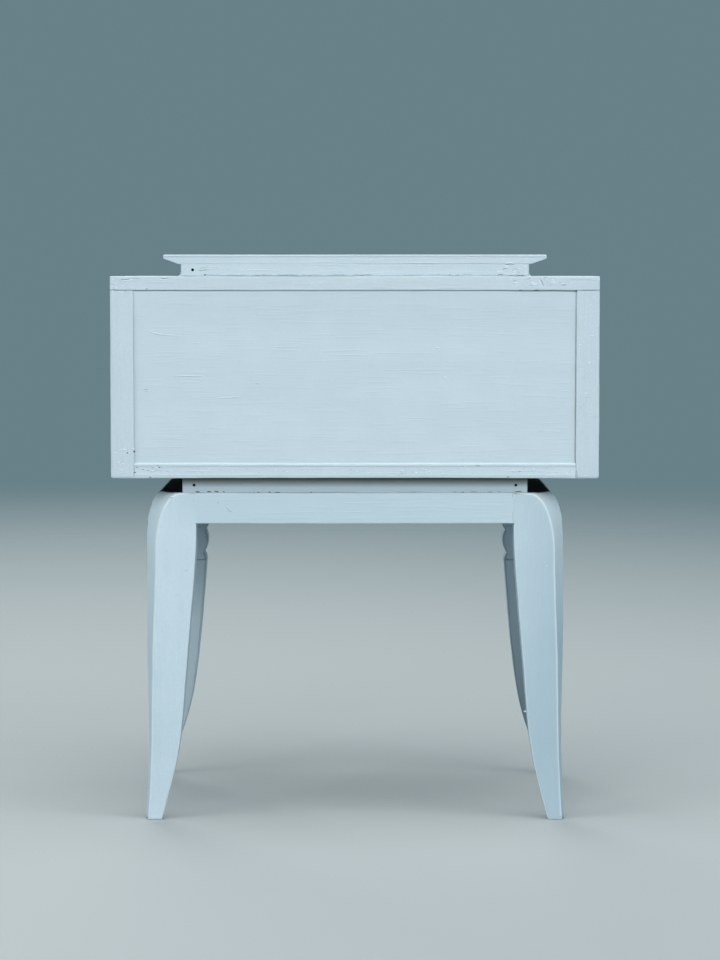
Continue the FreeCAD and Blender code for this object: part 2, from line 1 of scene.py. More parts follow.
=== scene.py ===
# The nightstand as photographed from behind: paint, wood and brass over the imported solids.
# Metres, +Z up, the drawer opens towards -Y. Sizes in dictionaries are millimetres unless they say otherwise.
import math
import bpy
import numpy as np
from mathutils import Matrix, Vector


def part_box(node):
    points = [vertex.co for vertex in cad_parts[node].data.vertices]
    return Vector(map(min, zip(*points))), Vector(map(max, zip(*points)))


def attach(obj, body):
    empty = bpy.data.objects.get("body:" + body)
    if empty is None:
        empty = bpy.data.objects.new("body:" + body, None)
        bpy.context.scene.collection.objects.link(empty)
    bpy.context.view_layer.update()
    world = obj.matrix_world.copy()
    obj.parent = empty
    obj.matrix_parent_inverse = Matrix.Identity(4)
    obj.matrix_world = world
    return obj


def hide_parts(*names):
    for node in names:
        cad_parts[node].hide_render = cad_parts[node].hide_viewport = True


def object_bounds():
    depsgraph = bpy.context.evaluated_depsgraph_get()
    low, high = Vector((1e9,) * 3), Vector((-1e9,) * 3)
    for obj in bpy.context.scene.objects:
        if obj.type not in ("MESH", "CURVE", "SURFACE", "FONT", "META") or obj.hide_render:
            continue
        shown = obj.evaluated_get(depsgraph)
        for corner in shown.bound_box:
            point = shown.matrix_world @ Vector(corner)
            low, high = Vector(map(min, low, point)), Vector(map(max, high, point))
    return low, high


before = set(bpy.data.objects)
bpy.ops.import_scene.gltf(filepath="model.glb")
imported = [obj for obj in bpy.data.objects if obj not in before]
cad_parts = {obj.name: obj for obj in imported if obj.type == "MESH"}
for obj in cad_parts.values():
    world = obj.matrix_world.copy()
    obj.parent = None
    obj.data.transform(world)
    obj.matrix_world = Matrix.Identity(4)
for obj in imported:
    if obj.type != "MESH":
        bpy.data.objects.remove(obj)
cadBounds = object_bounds()
mm = 0.001
print("packed model loaded:", len(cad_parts), "nodes")


def hexToLinear(hexColour, tone=1.0):
    # an sRGB hex value as linear light, times a tone
    channels = np.array([int(hexColour[i:i + 2], 16) for i in (1, 3, 5)]) / 255
    linear = np.where(channels <= 0.04045, channels / 12.92, ((channels + 0.055) / 1.055) ** 2.4)
    return (*np.clip(linear * tone, 0, 1).tolist(), 1.0)


def addNode(tree, kind, inputs={}, **settings):
    # settings are the node's properties; an input is a value, or another node's socket that is linked to it
    node = tree.nodes.new(kind)
    for key, value in settings.items():
        setattr(node, key, value)
    for key, value in inputs.items():
        if isinstance(value, bpy.types.NodeSocket):
            tree.links.new(value, node.inputs[key])
        else:
            node.inputs[key].default_value = value
    return node


def newMaterial(name):
    material = bpy.data.materials.new(name)
    material.use_nodes = True
    material.node_tree.nodes.clear()
    return material, material.node_tree


def addShader(tree, inputs):
    shader = addNode(tree, "ShaderNodeBsdfPrincipled", inputs)
    addNode(tree, "ShaderNodeOutputMaterial", {"Surface": shader.outputs[0]})


def stretchedNoise(tree, sizes, detail=3.0, roughness=0.5):
    # a noise on Object coordinates divided by a size in millimetres along each axis
    place = addNode(tree, "ShaderNodeTexCoord").outputs["Object"]
    scaled = addNode(tree, "ShaderNodeMapping", {"Vector": place, "Scale": [1000 / size for size in sizes]})
    return addNode(tree, "ShaderNodeTexNoise", {
        "Vector": scaled.outputs[0], "Scale": 1.0, "Detail": detail, "Roughness": roughness}).outputs[0]


def alongAxis(axis, along, across):
    return [along if name == axis else across for name in "XYZ"]


def remap(tree, value, fromMin, fromMax, toMin=0.0, toMax=1.0, **settings):
    ends = {"From Min": fromMin, "From Max": fromMax, "To Min": toMin, "To Max": toMax}
    return addNode(tree, "ShaderNodeMapRange", {"Value": value, **ends}, **settings).outputs[0]


def mixColours(tree, share, first, second):
    return addNode(tree, "ShaderNodeMix", {"Factor": share, "A": first, "B": second},
                   data_type="RGBA").outputs["Result"]


def stackedBumps(tree, layers):
    # each layer is a height and its relief in millimetres, laid on the one before
    normal = None
    for height, relief in layers:
        inputs = {"Height": height, "Distance": relief * mm}
        if normal is not None:
            inputs["Normal"] = normal
        normal = addNode(tree, "ShaderNodeBump", inputs).outputs[0]
    return normal


# Chalk paint, brushed by hand on wood: matt and powdery, with fine lines from the bristles, a few longer
# ridges and small nibs that catch the light. Real bristle lines are 0.4 mm wide; they are drawn wider, to
# show at all.
# The near black and the grey blue below are colours of painted shade; the undercoat is partly painted shade
chalkPaint = {
    "colour": "#C8DAE4", "thinColour": "#BFD2DD", "paintedShadeDark": "#0A0E11", "thinShare": 0.55, "paintedShadeColour": "#95ACBA",
    "bristle": 1.1, "stroke": 38, "bristleRelief": 0.055,
    "ridge": 2.2, "ridgeLength": 44, "ridgeRelief": 0.075,
    "passWidth": 15, "passLength": 210, "passRelief": 0.10,
    "nib": 2.2, "nibRelief": 0.05, "fleckShare": 0.35, "mottle": 30, "roughness": 0.52, "spread": 0.12,
    "undercoatInShade": "#57522A", "shadeReach": 10.0,
    "ridgeRange": (0.56, 0.72), "coatRange": (0.14, 0.40), "nibRange": (0.4, 0.7),
}
# What the value of a noise mostly lies between, and the same for the grain of wood
noiseRange = (0.3, 0.7)
grainRange = (0.38, 0.66)


def variedRoughness(tree, noise, p):
    return remap(tree, noise, *noiseRange, p["roughness"], p["roughness"] + p["spread"])


def woodColour(tree, axis, p):
    grain = stretchedNoise(tree, alongAxis(axis, p["length"], p["grain"]), detail=5.0, roughness=0.62)
    return mixColours(tree, remap(tree, grain, *grainRange), hexToLinear(p["colour"]), hexToLinear(p["dark"]))


def brushedPaint(name, axis, tone=1.0, relief=1.0, holes=(), bareBehind=None, shadedUpTo=None):
    # noises stretched along the stroke; relief tells how rough the brushing is. Two attributes paint shade into
    # the
    # colour: one mixes in near black, in gaps and under the case, the other a darker grey blue over faces, and
    # where it is left off an arris, a painted highlight. A hole is the (x, z, radius) of a punched nail,
    # painted near black as the shade in it. Up to a given height the colour darkens towards the undercoat, as
    # painted shade under an overhang, with some undercoat showing
    p = chalkPaint
    material, tree = newMaterial(name)
    bristles = stretchedNoise(tree, alongAxis(axis, p["stroke"], p["bristle"]), detail=2.0, roughness=0.55)
    lines = stretchedNoise(tree, alongAxis(axis, p["ridgeLength"], p["ridge"]), detail=1.0)
    ridges = remap(tree, lines, *p["ridgeRange"])
    passes = stretchedNoise(tree, alongAxis(axis, p["passLength"], p["passWidth"]))
    mottle = stretchedNoise(tree, [p["mottle"]] * 3, detail=4.0)
    nibs = stretchedNoise(tree, [p["nib"]] * 3, roughness=0.6)

    coat = addNode(tree, "ShaderNodeMath", {0: passes, 1: mottle}, operation="MULTIPLY").outputs[0]
    thinness = remap(tree, coat, *p["coatRange"], p["thinShare"], 0.0)
    thin = hexToLinear(p["thinColour"], tone)
    colour = mixColours(tree, thinness, hexToLinear(p["colour"], tone), thin)
    colour = mixColours(tree, remap(tree, nibs, *p["nibRange"], 0.0, p["fleckShare"] * relief), colour, thin)
    # painted shade: a darker grey blue mixed in where the attribute asks, over legs, rail and the plate's
    # groove
    paintedShade = addNode(tree, "ShaderNodeAttribute", attribute_name="paintedShade").outputs["Fac"]
    colour = mixColours(tree, paintedShade, colour, hexToLinear(p["paintedShadeColour"], tone))

    # painted shade: near black mixed in by the attribute and at the nail holes
    paintedShadeDark = addNode(tree, "ShaderNodeAttribute", attribute_name="paintedShadeDark").outputs["Fac"]
    place = addNode(tree, "ShaderNodeTexCoord").outputs["Object"]
    for x, z, radius in holes:
        offset = addNode(tree, "ShaderNodeVectorMath", {0: place, 1: (x, 0, z)}, operation="SUBTRACT")
        flat = addNode(tree, "ShaderNodeVectorMath", {0: offset.outputs[0], 1: (1, 0, 1)}, operation="MULTIPLY")
        away = addNode(tree, "ShaderNodeVectorMath", {0: flat.outputs[0]}, operation="LENGTH").outputs["Value"]
        inside = addNode(tree, "ShaderNodeMath", {0: away, 1: radius}, operation="LESS_THAN").outputs[0]
        paintedShadeDark = addNode(tree, "ShaderNodeMath", {0: paintedShadeDark, 1: inside}, operation="MAXIMUM").outputs[0]
    axes = addNode(tree, "ShaderNodeSeparateXYZ", {"Vector": place}).outputs
    # painted shade: darker towards the top, partly the undercoat showing and partly the shade under an overhang
    if shadedUpTo is not None:
        thinning = remap(tree, axes["Z"], shadedUpTo - p["shadeReach"] * mm, shadedUpTo)
        colour = mixColours(tree, thinning, colour, hexToLinear(p["undercoatInShade"]))
    colour = mixColours(tree, paintedShadeDark, colour, hexToLinear(p["paintedShadeDark"]))
    if bareBehind is not None:
        behind = addNode(tree, "ShaderNodeMath", {0: axes["Y"], 1: bareBehind}, operation="GREATER_THAN")
        colour = mixColours(tree, behind.outputs[0], colour, woodColour(tree, "X", beech))

    layers = (passes, "passRelief"), (ridges, "ridgeRelief"), (nibs, "nibRelief"), (bristles, "bristleRelief")
    addShader(tree, {"Base Color": colour, "Roughness": variedRoughness(tree, bristles, p),
                     "Normal": stackedBumps(tree, [(height, p[key] * relief) for height, key in layers])})
    return material


# Beech, planed and left bare: warm and even, with fine grain lines along the board.
beech = {"colour": "#C9A57C", "dark": "#A67C52", "grain": 2.2, "length": 120, "roughness": 0.6,
         "relief": 0.05}
# Sawn spruce, coloured almost black as painted shade: a rough dark that gives the gap under the case its depth.
shadeSpruce = {"colour": "#16130F", "dark": "#0A0908", "grain": 3.5, "length": 160, "roughness": 0.75,
                 "relief": 0.12}
# Birch plywood, sanded: pale, with the long soft bands of flat-cut veneer.
birchPlywood = {"colour": "#D3B48A", "dark": "#B99365", "grain": 9.0, "length": 260, "roughness": 0.62,
                "relief": 0.04}


def bareWood(name, axis, p):
    material, tree = newMaterial(name)
    colour = woodColour(tree, axis, p)
    grain = stretchedNoise(tree, alongAxis(axis, p["length"], p["grain"]), detail=5.0)
    addShader(tree, {"Base Color": colour, "Roughness": p["roughness"],
                     "Normal": stackedBumps(tree, [(grain, p["relief"])])})
    return material


paintX = brushedPaint("chalkPaintBrushedAcross", "X")
paintY = brushedPaint("chalkPaintBrushedDeep", "Y")
paintZ = brushedPaint("chalkPaintBrushedUp", "Z")
roughPaintX = brushedPaint("chalkPaintRoughAcross", "X", relief=2.0)
roughPaintZ = brushedPaint("chalkPaintRoughUp", "Z", relief=2.6)
dabsPaintedLight = brushedPaint("chalkPaintDabsLit", "X", tone=1.18)  # a lighter copy: a painted highlight on the raised dabs
beechX = bareWood("planedBeechAcross", "X", beech)
beechY = bareWood("planedBeechDeep", "Y", beech)
beechZ = bareWood("planedBeechUp", "Z", beech)
paintedShadeWood = bareWood("sawnSprucePaintedShade", "X", shadeSpruce)
plywood = bareWood("birchPlywoodSanded", "X", birchPlywood)

# Brass turned on a lathe and a little tarnished: a warm shine with dull patches.
turnedBrass = {"colour": "#C9A15A", "dull": 0.72, "roughness": 0.26, "spread": 0.14, "patch": 6.0,
               "scratch": 0.5, "scratchLength": 6.0, "relief": 0.02}
# Zinc-plated steel, drawn and headed: cool grey with a soft shine, for the screws and pins.
zincSteel = {**turnedBrass, "colour": "#A9A8A4", "roughness": 0.34}
# Iron wire nails gone dark: almost no shine, so a punched hole reads as a black dot.
darkIron = {**turnedBrass, "colour": "#2B2724", "dull": 0.6, "roughness": 0.6, "spread": 0.2, "patch": 1.5,
            "relief": 0.04}


def bareMetal(name, p, paintedBeyond=None):
    # patches of duller metal, and fine marks from the tool. paintedBeyond holds two places along Y: what lies
    # outside them is painted over, as the nails driven flush are
    material, tree = newMaterial(name)
    patches = stretchedNoise(tree, [p["patch"]] * 3, detail=4.0)
    marks = stretchedNoise(tree, alongAxis("Y", p["scratch"], p["scratchLength"]))
    colour = mixColours(tree, patches, hexToLinear(p["colour"]), hexToLinear(p["colour"], p["dull"]))
    rough = variedRoughness(tree, patches, p)
    metallic = 1.0
    if paintedBeyond is not None:
        place = addNode(tree, "ShaderNodeTexCoord").outputs["Object"]
        depth = addNode(tree, "ShaderNodeSeparateXYZ", {"Vector": place}).outputs["Y"]
        middle, half = sum(paintedBeyond) / 2, (paintedBeyond[1] - paintedBeyond[0]) / 2
        offset = addNode(tree, "ShaderNodeMath", {0: depth, 1: middle}, operation="SUBTRACT").outputs[0]
        away = addNode(tree, "ShaderNodeMath", {0: offset}, operation="ABSOLUTE").outputs[0]
        painted = addNode(tree, "ShaderNodeMath", {0: away, 1: half}, operation="GREATER_THAN").outputs[0]
        colour = mixColours(tree, painted, colour, hexToLinear(chalkPaint["colour"]))
        metallic = remap(tree, painted, 0.0, 1.0, 1.0, 0.0)
    addShader(tree, {"Base Color": colour, "Roughness": rough, "Metallic": metallic,
                     "Normal": stackedBumps(tree, [(marks, p["relief"])])})
    return material


brass = bareMetal("agedTurnedBrass", turnedBrass)
steel = bareMetal("zincPlatedSteel", zincSteel)

# Grime in an open joint: the bottom of cracks and pits, nearly black and without shine, with a little dust.
# The same colour draws painted shadows beside raised marks and painted shade along the panel's top gap.
jointGrimeAndShadow = {"colour": "#10161A", "dust": "#3A4448", "speckle": 1.5, "roughness": 0.9}


def openJointGrimeAndShadow(p=jointGrimeAndShadow):
    material, tree = newMaterial("openJointGrimeAndShadow")
    speckle = stretchedNoise(tree, [p["speckle"]] * 3)
    colour = mixColours(tree, speckle, hexToLinear(p["dust"]), hexToLinear(p["colour"]))
    addShader(tree, {"Base Color": colour, "Roughness": p["roughness"]})
    return material


grimeAndShadowLine = openJointGrimeAndShadow()
print("materials made:", len(bpy.data.materials))

# The small unevenness of hand-finished boards; it dies away over the lowest millimetres, where the feet stand
unevenness = {"amount": 0.065, "waves": 10, "lengths": (26, 140), "settles": 20}


def handWobble(points, p=unevenness):
    # each coordinate moves by a sum of sine waves through space; the same place always moves alike, so pieces
    # that touch stay together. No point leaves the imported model's box
    random, count = np.random.default_rng(7), p["waves"]
    directions = random.normal(size=(3, count))
    directions /= np.linalg.norm(directions, axis=0)
    lengths = np.geomspace(*p["lengths"], count) * mm
    phases = random.uniform(0, 2 * np.pi, count)
    sizes = random.normal(size=(count, 3)) * np.sqrt(lengths / lengths[-1])[:, None] * p["amount"] * mm
    shift = np.sin(points @ (directions * 2 * np.pi / lengths) + phases) @ sizes
    moved = points + shift * np.clip(points[:, 2:] / (p["settles"] * mm), 0, 1)
    return np.clip(moved, *np.array(cadBounds))


def sideBySide(*values):
    # numbers and arrays as the columns of one array, such as the coordinates of points
    return np.stack(np.broadcast_arrays(*values), axis=1)


def gridQuads(rows, columns, firstPoint=0, closed=False):
    # corner numbers of the quads between neighbouring rows and columns of a grid of points
    number = np.arange(rows * columns).reshape(rows, columns) + firstPoint
    if closed:
        number = np.concatenate([number, number[:, :1]], axis=1)
    quads = np.stack([number[:-1, :-1], number[1:, :-1], number[1:, 1:], number[:-1, 1:]], axis=-1)
    return quads.reshape(-1, 4)


def signedVolume(points, faces):
    # six times the volume, as a sum over triangles of a . (b x c)
    total = 0.0
    for block in faces:
        for i in range(1, block.shape[1] - 1):
            a, b, c = points[block[:, 0]], points[block[:, i]], points[block[:, i + 1]]
            total += np.einsum("ij,ij->", a, np.cross(b, c))
    return total


def endLadder(count, firstPoint):
    # quads between point i and point count - 1 - i of a ring of points, which close its end
    i = np.arange(count // 2 - 1)
    return sideBySide(i, i + 1, count - 2 - i, count - 1 - i) + firstPoint


def addPiece(name, points, faces, materials, replaces=(), body="carcase", slots=None, attributes={},
             uneven=True):
    # a shell whose signed volume comes out negative is turned, so that its faces point outwards
    points = handWobble(points) if uneven else points
    if signedVolume(points - points.mean(axis=0), faces) < 0:
        faces = [block[:, ::-1] for block in faces]
    mesh = bpy.data.meshes.new(name)
    mesh.from_pydata(points.tolist(), [], [face for block in faces for face in block.tolist()])
    for material in materials:
        mesh.materials.append(material)
    mesh.polygons.foreach_set("use_smooth", np.ones(len(mesh.polygons), bool))
    if slots is not None:
        centres = np.concatenate([points[block].mean(axis=1) for block in faces])
        mesh.polygons.foreach_set("material_index", slots(centres).astype(np.int32))
    for key, values in attributes.items():
        mesh.attributes.new(key, "FLOAT", "POINT").data.foreach_set("value", values.astype(np.float32))
    piece = bpy.data.objects.new(name, mesh)
    bpy.context.scene.collection.objects.link(piece)
    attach(piece, body)
    if replaces:
        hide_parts(*replaces)


def axisLines(low, high, roundLow, roundHigh, step):
    # places of the grid lines between two faces: r (1 - tan a) from each face, a from 45 to 0 degrees, then
    # one line just past the rounding, and even steps between
    bends = 1 - np.tan(np.linspace(np.pi / 4, 0, 4))
    start, end = low + 1.4 * roundLow, high - 1.4 * roundHigh
    middle = np.linspace(start, end, max(2, round((end - start) / step) + 1))
    return np.concatenate([low + roundLow * bends, middle, (high - roundHigh * bends)[::-1]])


def mergedPoints(points, quads):
    # points of neighbouring grids that lie together become one
    key = np.round(points * 1e7).astype(np.int64)
    kept, number = np.unique(key, axis=0, return_index=True, return_inverse=True)[1:]
    return points[kept], number.reshape(-1)[quads]


def boardSurface(low, high, roundLow, roundHigh, step):
    # a board with rounded edges as six grids. A point p of the box has its nearest point q in the box that is
    # smaller by the roundings r on each side, and the surface is q + r u / |u| with u = (p - q) / r
    low, high, roundLow, roundHigh = (np.asarray(v, float) for v in (low, high, roundLow, roundHigh))
    lines = [axisLines(low[k], high[k], roundLow[k], roundHigh[k], step[k]) for k in range(3)]
    pointSets, quadSets, count = [], [], 0
    for axis in range(3):
        a, b = (axis + 1) % 3, (axis + 2) % 3
        for place, outward in ((low[axis], False), (high[axis], True)):
            u, v = np.meshgrid(lines[a], lines[b], indexing="ij")
            grid = np.empty(u.shape + (3,))
            grid[..., axis], grid[..., a], grid[..., b] = place, u, v
            quads = gridQuads(*u.shape, count)
            pointSets.append(grid.reshape(-1, 3))
            quadSets.append(quads if outward else quads[:, ::-1])
            count += u.size
    points = np.concatenate(pointSets)
    nearest = np.clip(points, low + roundLow, high - roundHigh)
    radii = np.where(points < nearest, roundLow, roundHigh)
    way = (points - nearest) / radii
    points = nearest + radii * way / np.linalg.norm(way, axis=1, keepdims=True)
    return mergedPoints(points, np.concatenate(quadSets))


def outwardOf(outline):
    # unit normals of a closed outline, pointing away from its inside
    tangent = np.roll(outline, -1, axis=0) - np.roll(outline, 1, axis=0)
    area = np.sum(outline[:, 0] * np.roll(outline[:, 1], -1) - outline[:, 1] * np.roll(outline[:, 0], -1))
    normal = sideBySide(tangent[:, 1], -tangent[:, 0]) * np.sign(area)
    return normal / np.linalg.norm(normal, axis=1, keepdims=True)


def sweptSurface(near, far, rim, span, across, depth=None, steps=3):
    # a closed outline carried from one end face to the other, with both rims rounded. near and far are the
    # outline on the two faces; ring by ring the outline is their mix, moved in by rim (1 - sin a) at a distance
    # rim (1 - cos a) from the face, a from 0 to 90 degrees. Returns the points as (outline u, outline v,
    # distance)
    count = len(near)
    depth = np.full(count, span) if depth is None else depth
    rim = np.broadcast_to(rim, count)
    turn = np.linspace(0, np.pi / 2, steps + 1)
    inset = [1.6 * rim] + [rim * (1 - np.sin(a)) for a in turn]
    place = [0 * rim] + [rim * (1 - np.cos(a)) for a in turn]
    body = [rim * 1.5 + (depth - 3 * rim) * f for f in np.linspace(0, 1, across + 1)]
    insets = np.array(inset + [0 * rim] * len(body) + inset[::-1])
    places = np.array(place + body + [depth - d for d in place[::-1]])
    share = (places / span)[..., None]
    outward = outwardOf(near) * (1 - share) + outwardOf(far) * share
    outline = near * (1 - share) + far * share - outward * insets[..., None]
    points = np.concatenate([outline, places[..., None]], axis=-1).reshape(-1, 3)
    return points, [gridQuads(len(places), count, closed=True), endLadder(count, 0),
                    endLadder(count, len(points) - count)[:, ::-1]]


def corners(node):
    low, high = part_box(node)
    return np.array(low), np.array(high)


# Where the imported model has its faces. The painted case is drawn a coat's thickness smaller at the rear and
# the sides, so that ridges and dabs of paint stay inside the model's box
coat = 0.3 * mm
caseTopLow, caseTopHigh = corners("case_top")
panelLow, panelHigh = corners("back_panel")
plateLow, plateHigh = corners("top_plate")
railLow, railHigh = corners("rear_rail")
apronLow, apronHigh = corners("front_apron")
spacerLow, spacerHigh = corners("base_batten_rear")
blockLow, blockHigh = corners("top_batten_rear")
blockFront = corners("top_batten_front")[0][1]
caseRear, caseFront, halfCase = caseTopHigh[1] - coat, caseTopLow[1], caseTopHigh[0] - coat
innerHalf = corners("case_side_right")[0][0]
ceilingZ, caseTopZ = caseTopLow[2], caseTopHigh[2]
caseBottomZ, floorZ = (corner[2] for corner in corners("case_bottom"))
frameTopZ, frameRear = railHigh[2], railHigh[1]

# The camera stands level with the case's top, behind the piece; the picture is 720 by 960 pixels
camera = {"place": (-0.0052, 3.0190, 0.563), "pitchDown": 4.212, "lens": 105.0, "sensorHeight": 36.0,
          "picture": (720, 960)}


def makeCamera(p=camera):
    data = bpy.data.cameras.new("photoCamera")
    data.sensor_fit = "VERTICAL"
    data.sensor_height = p["sensorHeight"]
    data.lens = p["lens"]
    photoCamera = bpy.data.objects.new("photoCamera", data)
    photoCamera.location = p["place"]
    photoCamera.rotation_euler = (math.radians(90 - p["pitchDown"]), 0, math.pi)
    bpy.context.scene.collection.objects.link(photoCamera)
    bpy.context.scene.camera = photoCamera
    print("camera placed")


def onFace(pixels, y, p=camera):
    # where the picture's pixels (column, row) lie on the plane of that y: the ray through a pixel leaves the
    # camera at the angle pitch + atan((row - middle) / f) below the level
    pixels = np.asarray(pixels, float)
    width, height = p["picture"]
    focal = p["lens"] / p["sensorHeight"] * height
    pitch = math.radians(p["pitchDown"])
    u, v = (pixels[..., 0] - width / 2) / focal, (pixels[..., 1] - height / 2) / focal
    forward = np.cos(pitch) - v * np.sin(pitch)
    reach = (p["place"][1] - y) / forward
    return p["place"][0] - u * reach, p["place"][2] - (np.sin(pitch) + v * np.cos(pitch)) * reach


# The boards of the case, painted where they show and bare inside; joints are barely eased, outer edges more.
# The top face lies a little low, so that the joint under the plinth shows
caseBoards = {"arris": 1.5, "topArris": 0.9, "corner": 2.5, "topEase": 0.5, "joint": 0.28, "openJoint": 1.1,
              "step": 7, "paintDepth": 1.5, "facing": 0.7}
paintedTopZ = caseTopZ - caseBoards["topEase"] * mm


def insideCase(centres, p=caseBoards):
    # the faces that look into the case, in front of its back panel
    near, margin = p["facing"] * mm, p["paintDepth"] * mm
    return ((np.abs(centres[:, 0]) < innerHalf + near) & (centres[:, 1] < panelHigh[1] - margin)
            & (centres[:, 1] > caseFront + margin)
            & (centres[:, 2] > floorZ - near) & (centres[:, 2] < ceilingZ + near))


def makeCase(p=caseBoards):
    arris, corner, joint, opened = (p[key] * mm for key in ("arris", "corner", "joint", "openJoint"))
    step = [p["step"] * mm] * 3
    points, quads = boardSurface((-halfCase, caseFront, ceilingZ), (halfCase, caseRear, paintedTopZ),
                                 (arris, arris, opened), (arris, arris, p["topArris"] * mm), step)
    addPiece("caseTop", points, [quads], [roughPaintX, beechX], ["case_top"], slots=insideCase)
    for name, node, x, edges in (
            ("caseSideLeft", "case_side_left", (-halfCase, -innerHalf), (corner, opened)),
            ("caseSideRight", "case_side_right", (innerHalf, halfCase), (joint, corner))):
        points, quads = boardSurface((x[0], caseFront, caseBottomZ), (x[1], caseRear, ceilingZ),
                                     (edges[0], arris, corner), (edges[1], arris, joint), step)
        addPiece(name, points, [quads], [roughPaintZ, beechZ], [node], slots=insideCase)
    print("case boards made")


# Bottom board: a rounded bevel on its upper rear edge, under it a quirk, a shallow step in the paint, and near
# its lower edge a low bead where the brush has pushed the paint together. The lower edge bows up in the middle
bottomBoard = {"bevelRun": 2.4, "bevelDrop": 2.6, "bevelBelly": 0.25,
               "quirkDepth": 0.45, "quirkHeight": 1.5, "quirkReturn": 9.0,
               "beadHeight": 3.4, "beadWidth": 1.8, "beadRise": 0.16, "round": 1.0, "bow": 0.7, "step": 6}


def makeBottom(p=bottomBoard):
    half = innerHalf
    rear, front, low, high = caseRear, caseFront, caseBottomZ, floorZ
    r, run, drop = p["round"] * mm, p["bevelRun"] * mm, p["bevelDrop"] * mm
    # the bevel is a quadratic curve (1 - t)^2 a + 2 t (1 - t) b + t^2 c, b near the corner that is taken off
    t = np.linspace(0, 1, 9)[:, None]
    a, b, c = ([rear - run, high], [rear, high - p["bevelBelly"] * mm], [rear, high - drop])
    bevel = (1 - t) ** 2 * a + 2 * t * (1 - t) * np.array(b) + t ** 2 * c
    # under it the face steps in along half a cosine wave, and comes back slowly along another
    wave = np.linspace(0, np.pi, 6)
    fall = np.concatenate([wave[1:] / np.pi * p["quirkHeight"],
                           p["quirkHeight"] + wave[1:] / np.pi * p["quirkReturn"]]) * mm
    depth = np.concatenate([1 - np.cos(wave[1:]), 1 + np.cos(wave[1:])]) / 2 * p["quirkDepth"] * mm
    quirk = sideBySide(rear - depth, high - drop - fall)[:-1]
    swell = np.linspace(0, 2 * np.pi, 9)
    bead = sideBySide(rear + p["beadRise"] * mm * (1 - np.cos(swell)) / 2,
                      low + (p["beadHeight"] - p["beadWidth"] * (swell / (2 * np.pi) - 0.5)) * mm)
    quarter = np.linspace(0, np.pi / 2, 5)
    lowerTurn = sideBySide(rear - r * (1 - np.cos(quarter)), low + r * (1 - np.sin(quarter)))
    frontTurn = sideBySide(front + r * (1 - np.sin(quarter)), low + r * (1 - np.cos(quarter)))
    profile = np.concatenate([
        [[panelHigh[1] - 4 * mm, high]], bevel, quirk, bead, [[rear, low + 2 * r]], lowerTurn,
        [[rear - 2 * r, low], [front + 2 * r, low]], frontTurn,
        [[front, high - 2 * r], [front, high - 0.3 * r], [front + 0.3 * r, high], [front + 2 * r, high],
         [0.0, high]]])
    swept, faces = sweptSurface(profile, profile, caseBoards["joint"] * mm, 2 * half,
                                across=round(2 * half / (p["step"] * mm)))
    points = sideBySide(swept[:, 2] - half, swept[:, 0], swept[:, 1])
    # the bow is a parabola 1 - (x / half)^2 that acts on the lowest millimetres only
    reach = np.clip(1 - (points[:, 2] - low) / (p["beadHeight"] * mm), 0, 1)
    points[:, 2] += p["bow"] * mm * (1 - (points[:, 0] / half) ** 2) * reach

    def slots(centres):
        # bare beech inside the case, and on the underside spruce coloured black as painted shade
        fromMiddle = np.abs(centres[:, 1] - (rear + front) / 2)
        inside = (centres[:, 2] > high - 0.3 * mm) & (centres[:, 1] < panelHigh[1] - 1.5 * mm)
        under = (centres[:, 2] < low + (p["bow"] + 0.2) * mm) & (fromMiddle < (rear - front) / 2 - 0.9 * r)
        return np.where(under, 2, np.where(inside, 1, 0))
    addPiece("caseBottom", points, faces, [roughPaintX, beechX, paintedShadeWood], ["case_bottom"], slots=slots)
    print("bottom board made")


# Back panel: set in grooves, and parted a little from the boards round it, most along the top and on the side
# that is right as photographed, at -X. Width and depth of each gap; the top one widens to both ends, as its
# width at four places along X tells. Under the top gap thick paint brings the face out a little
backPanel = {"topGapAt": (-226, -120, 60, 226), "topGap": ((0.95, 0.32, 0.25, 0.5), 1.3),
             "leftGap": (0.15, 0.3), "rightGap": (0.75, 0.7), "blur": 0.6, "reach": 1.3,
             "swell": 1.2, "swellReach": 40, "shadeDepth": 1.6, "shadeFree": 0.2, "shadeMost": 0.85,
             "step": 5, "fineStep": 0.2, "fineBand": 4}


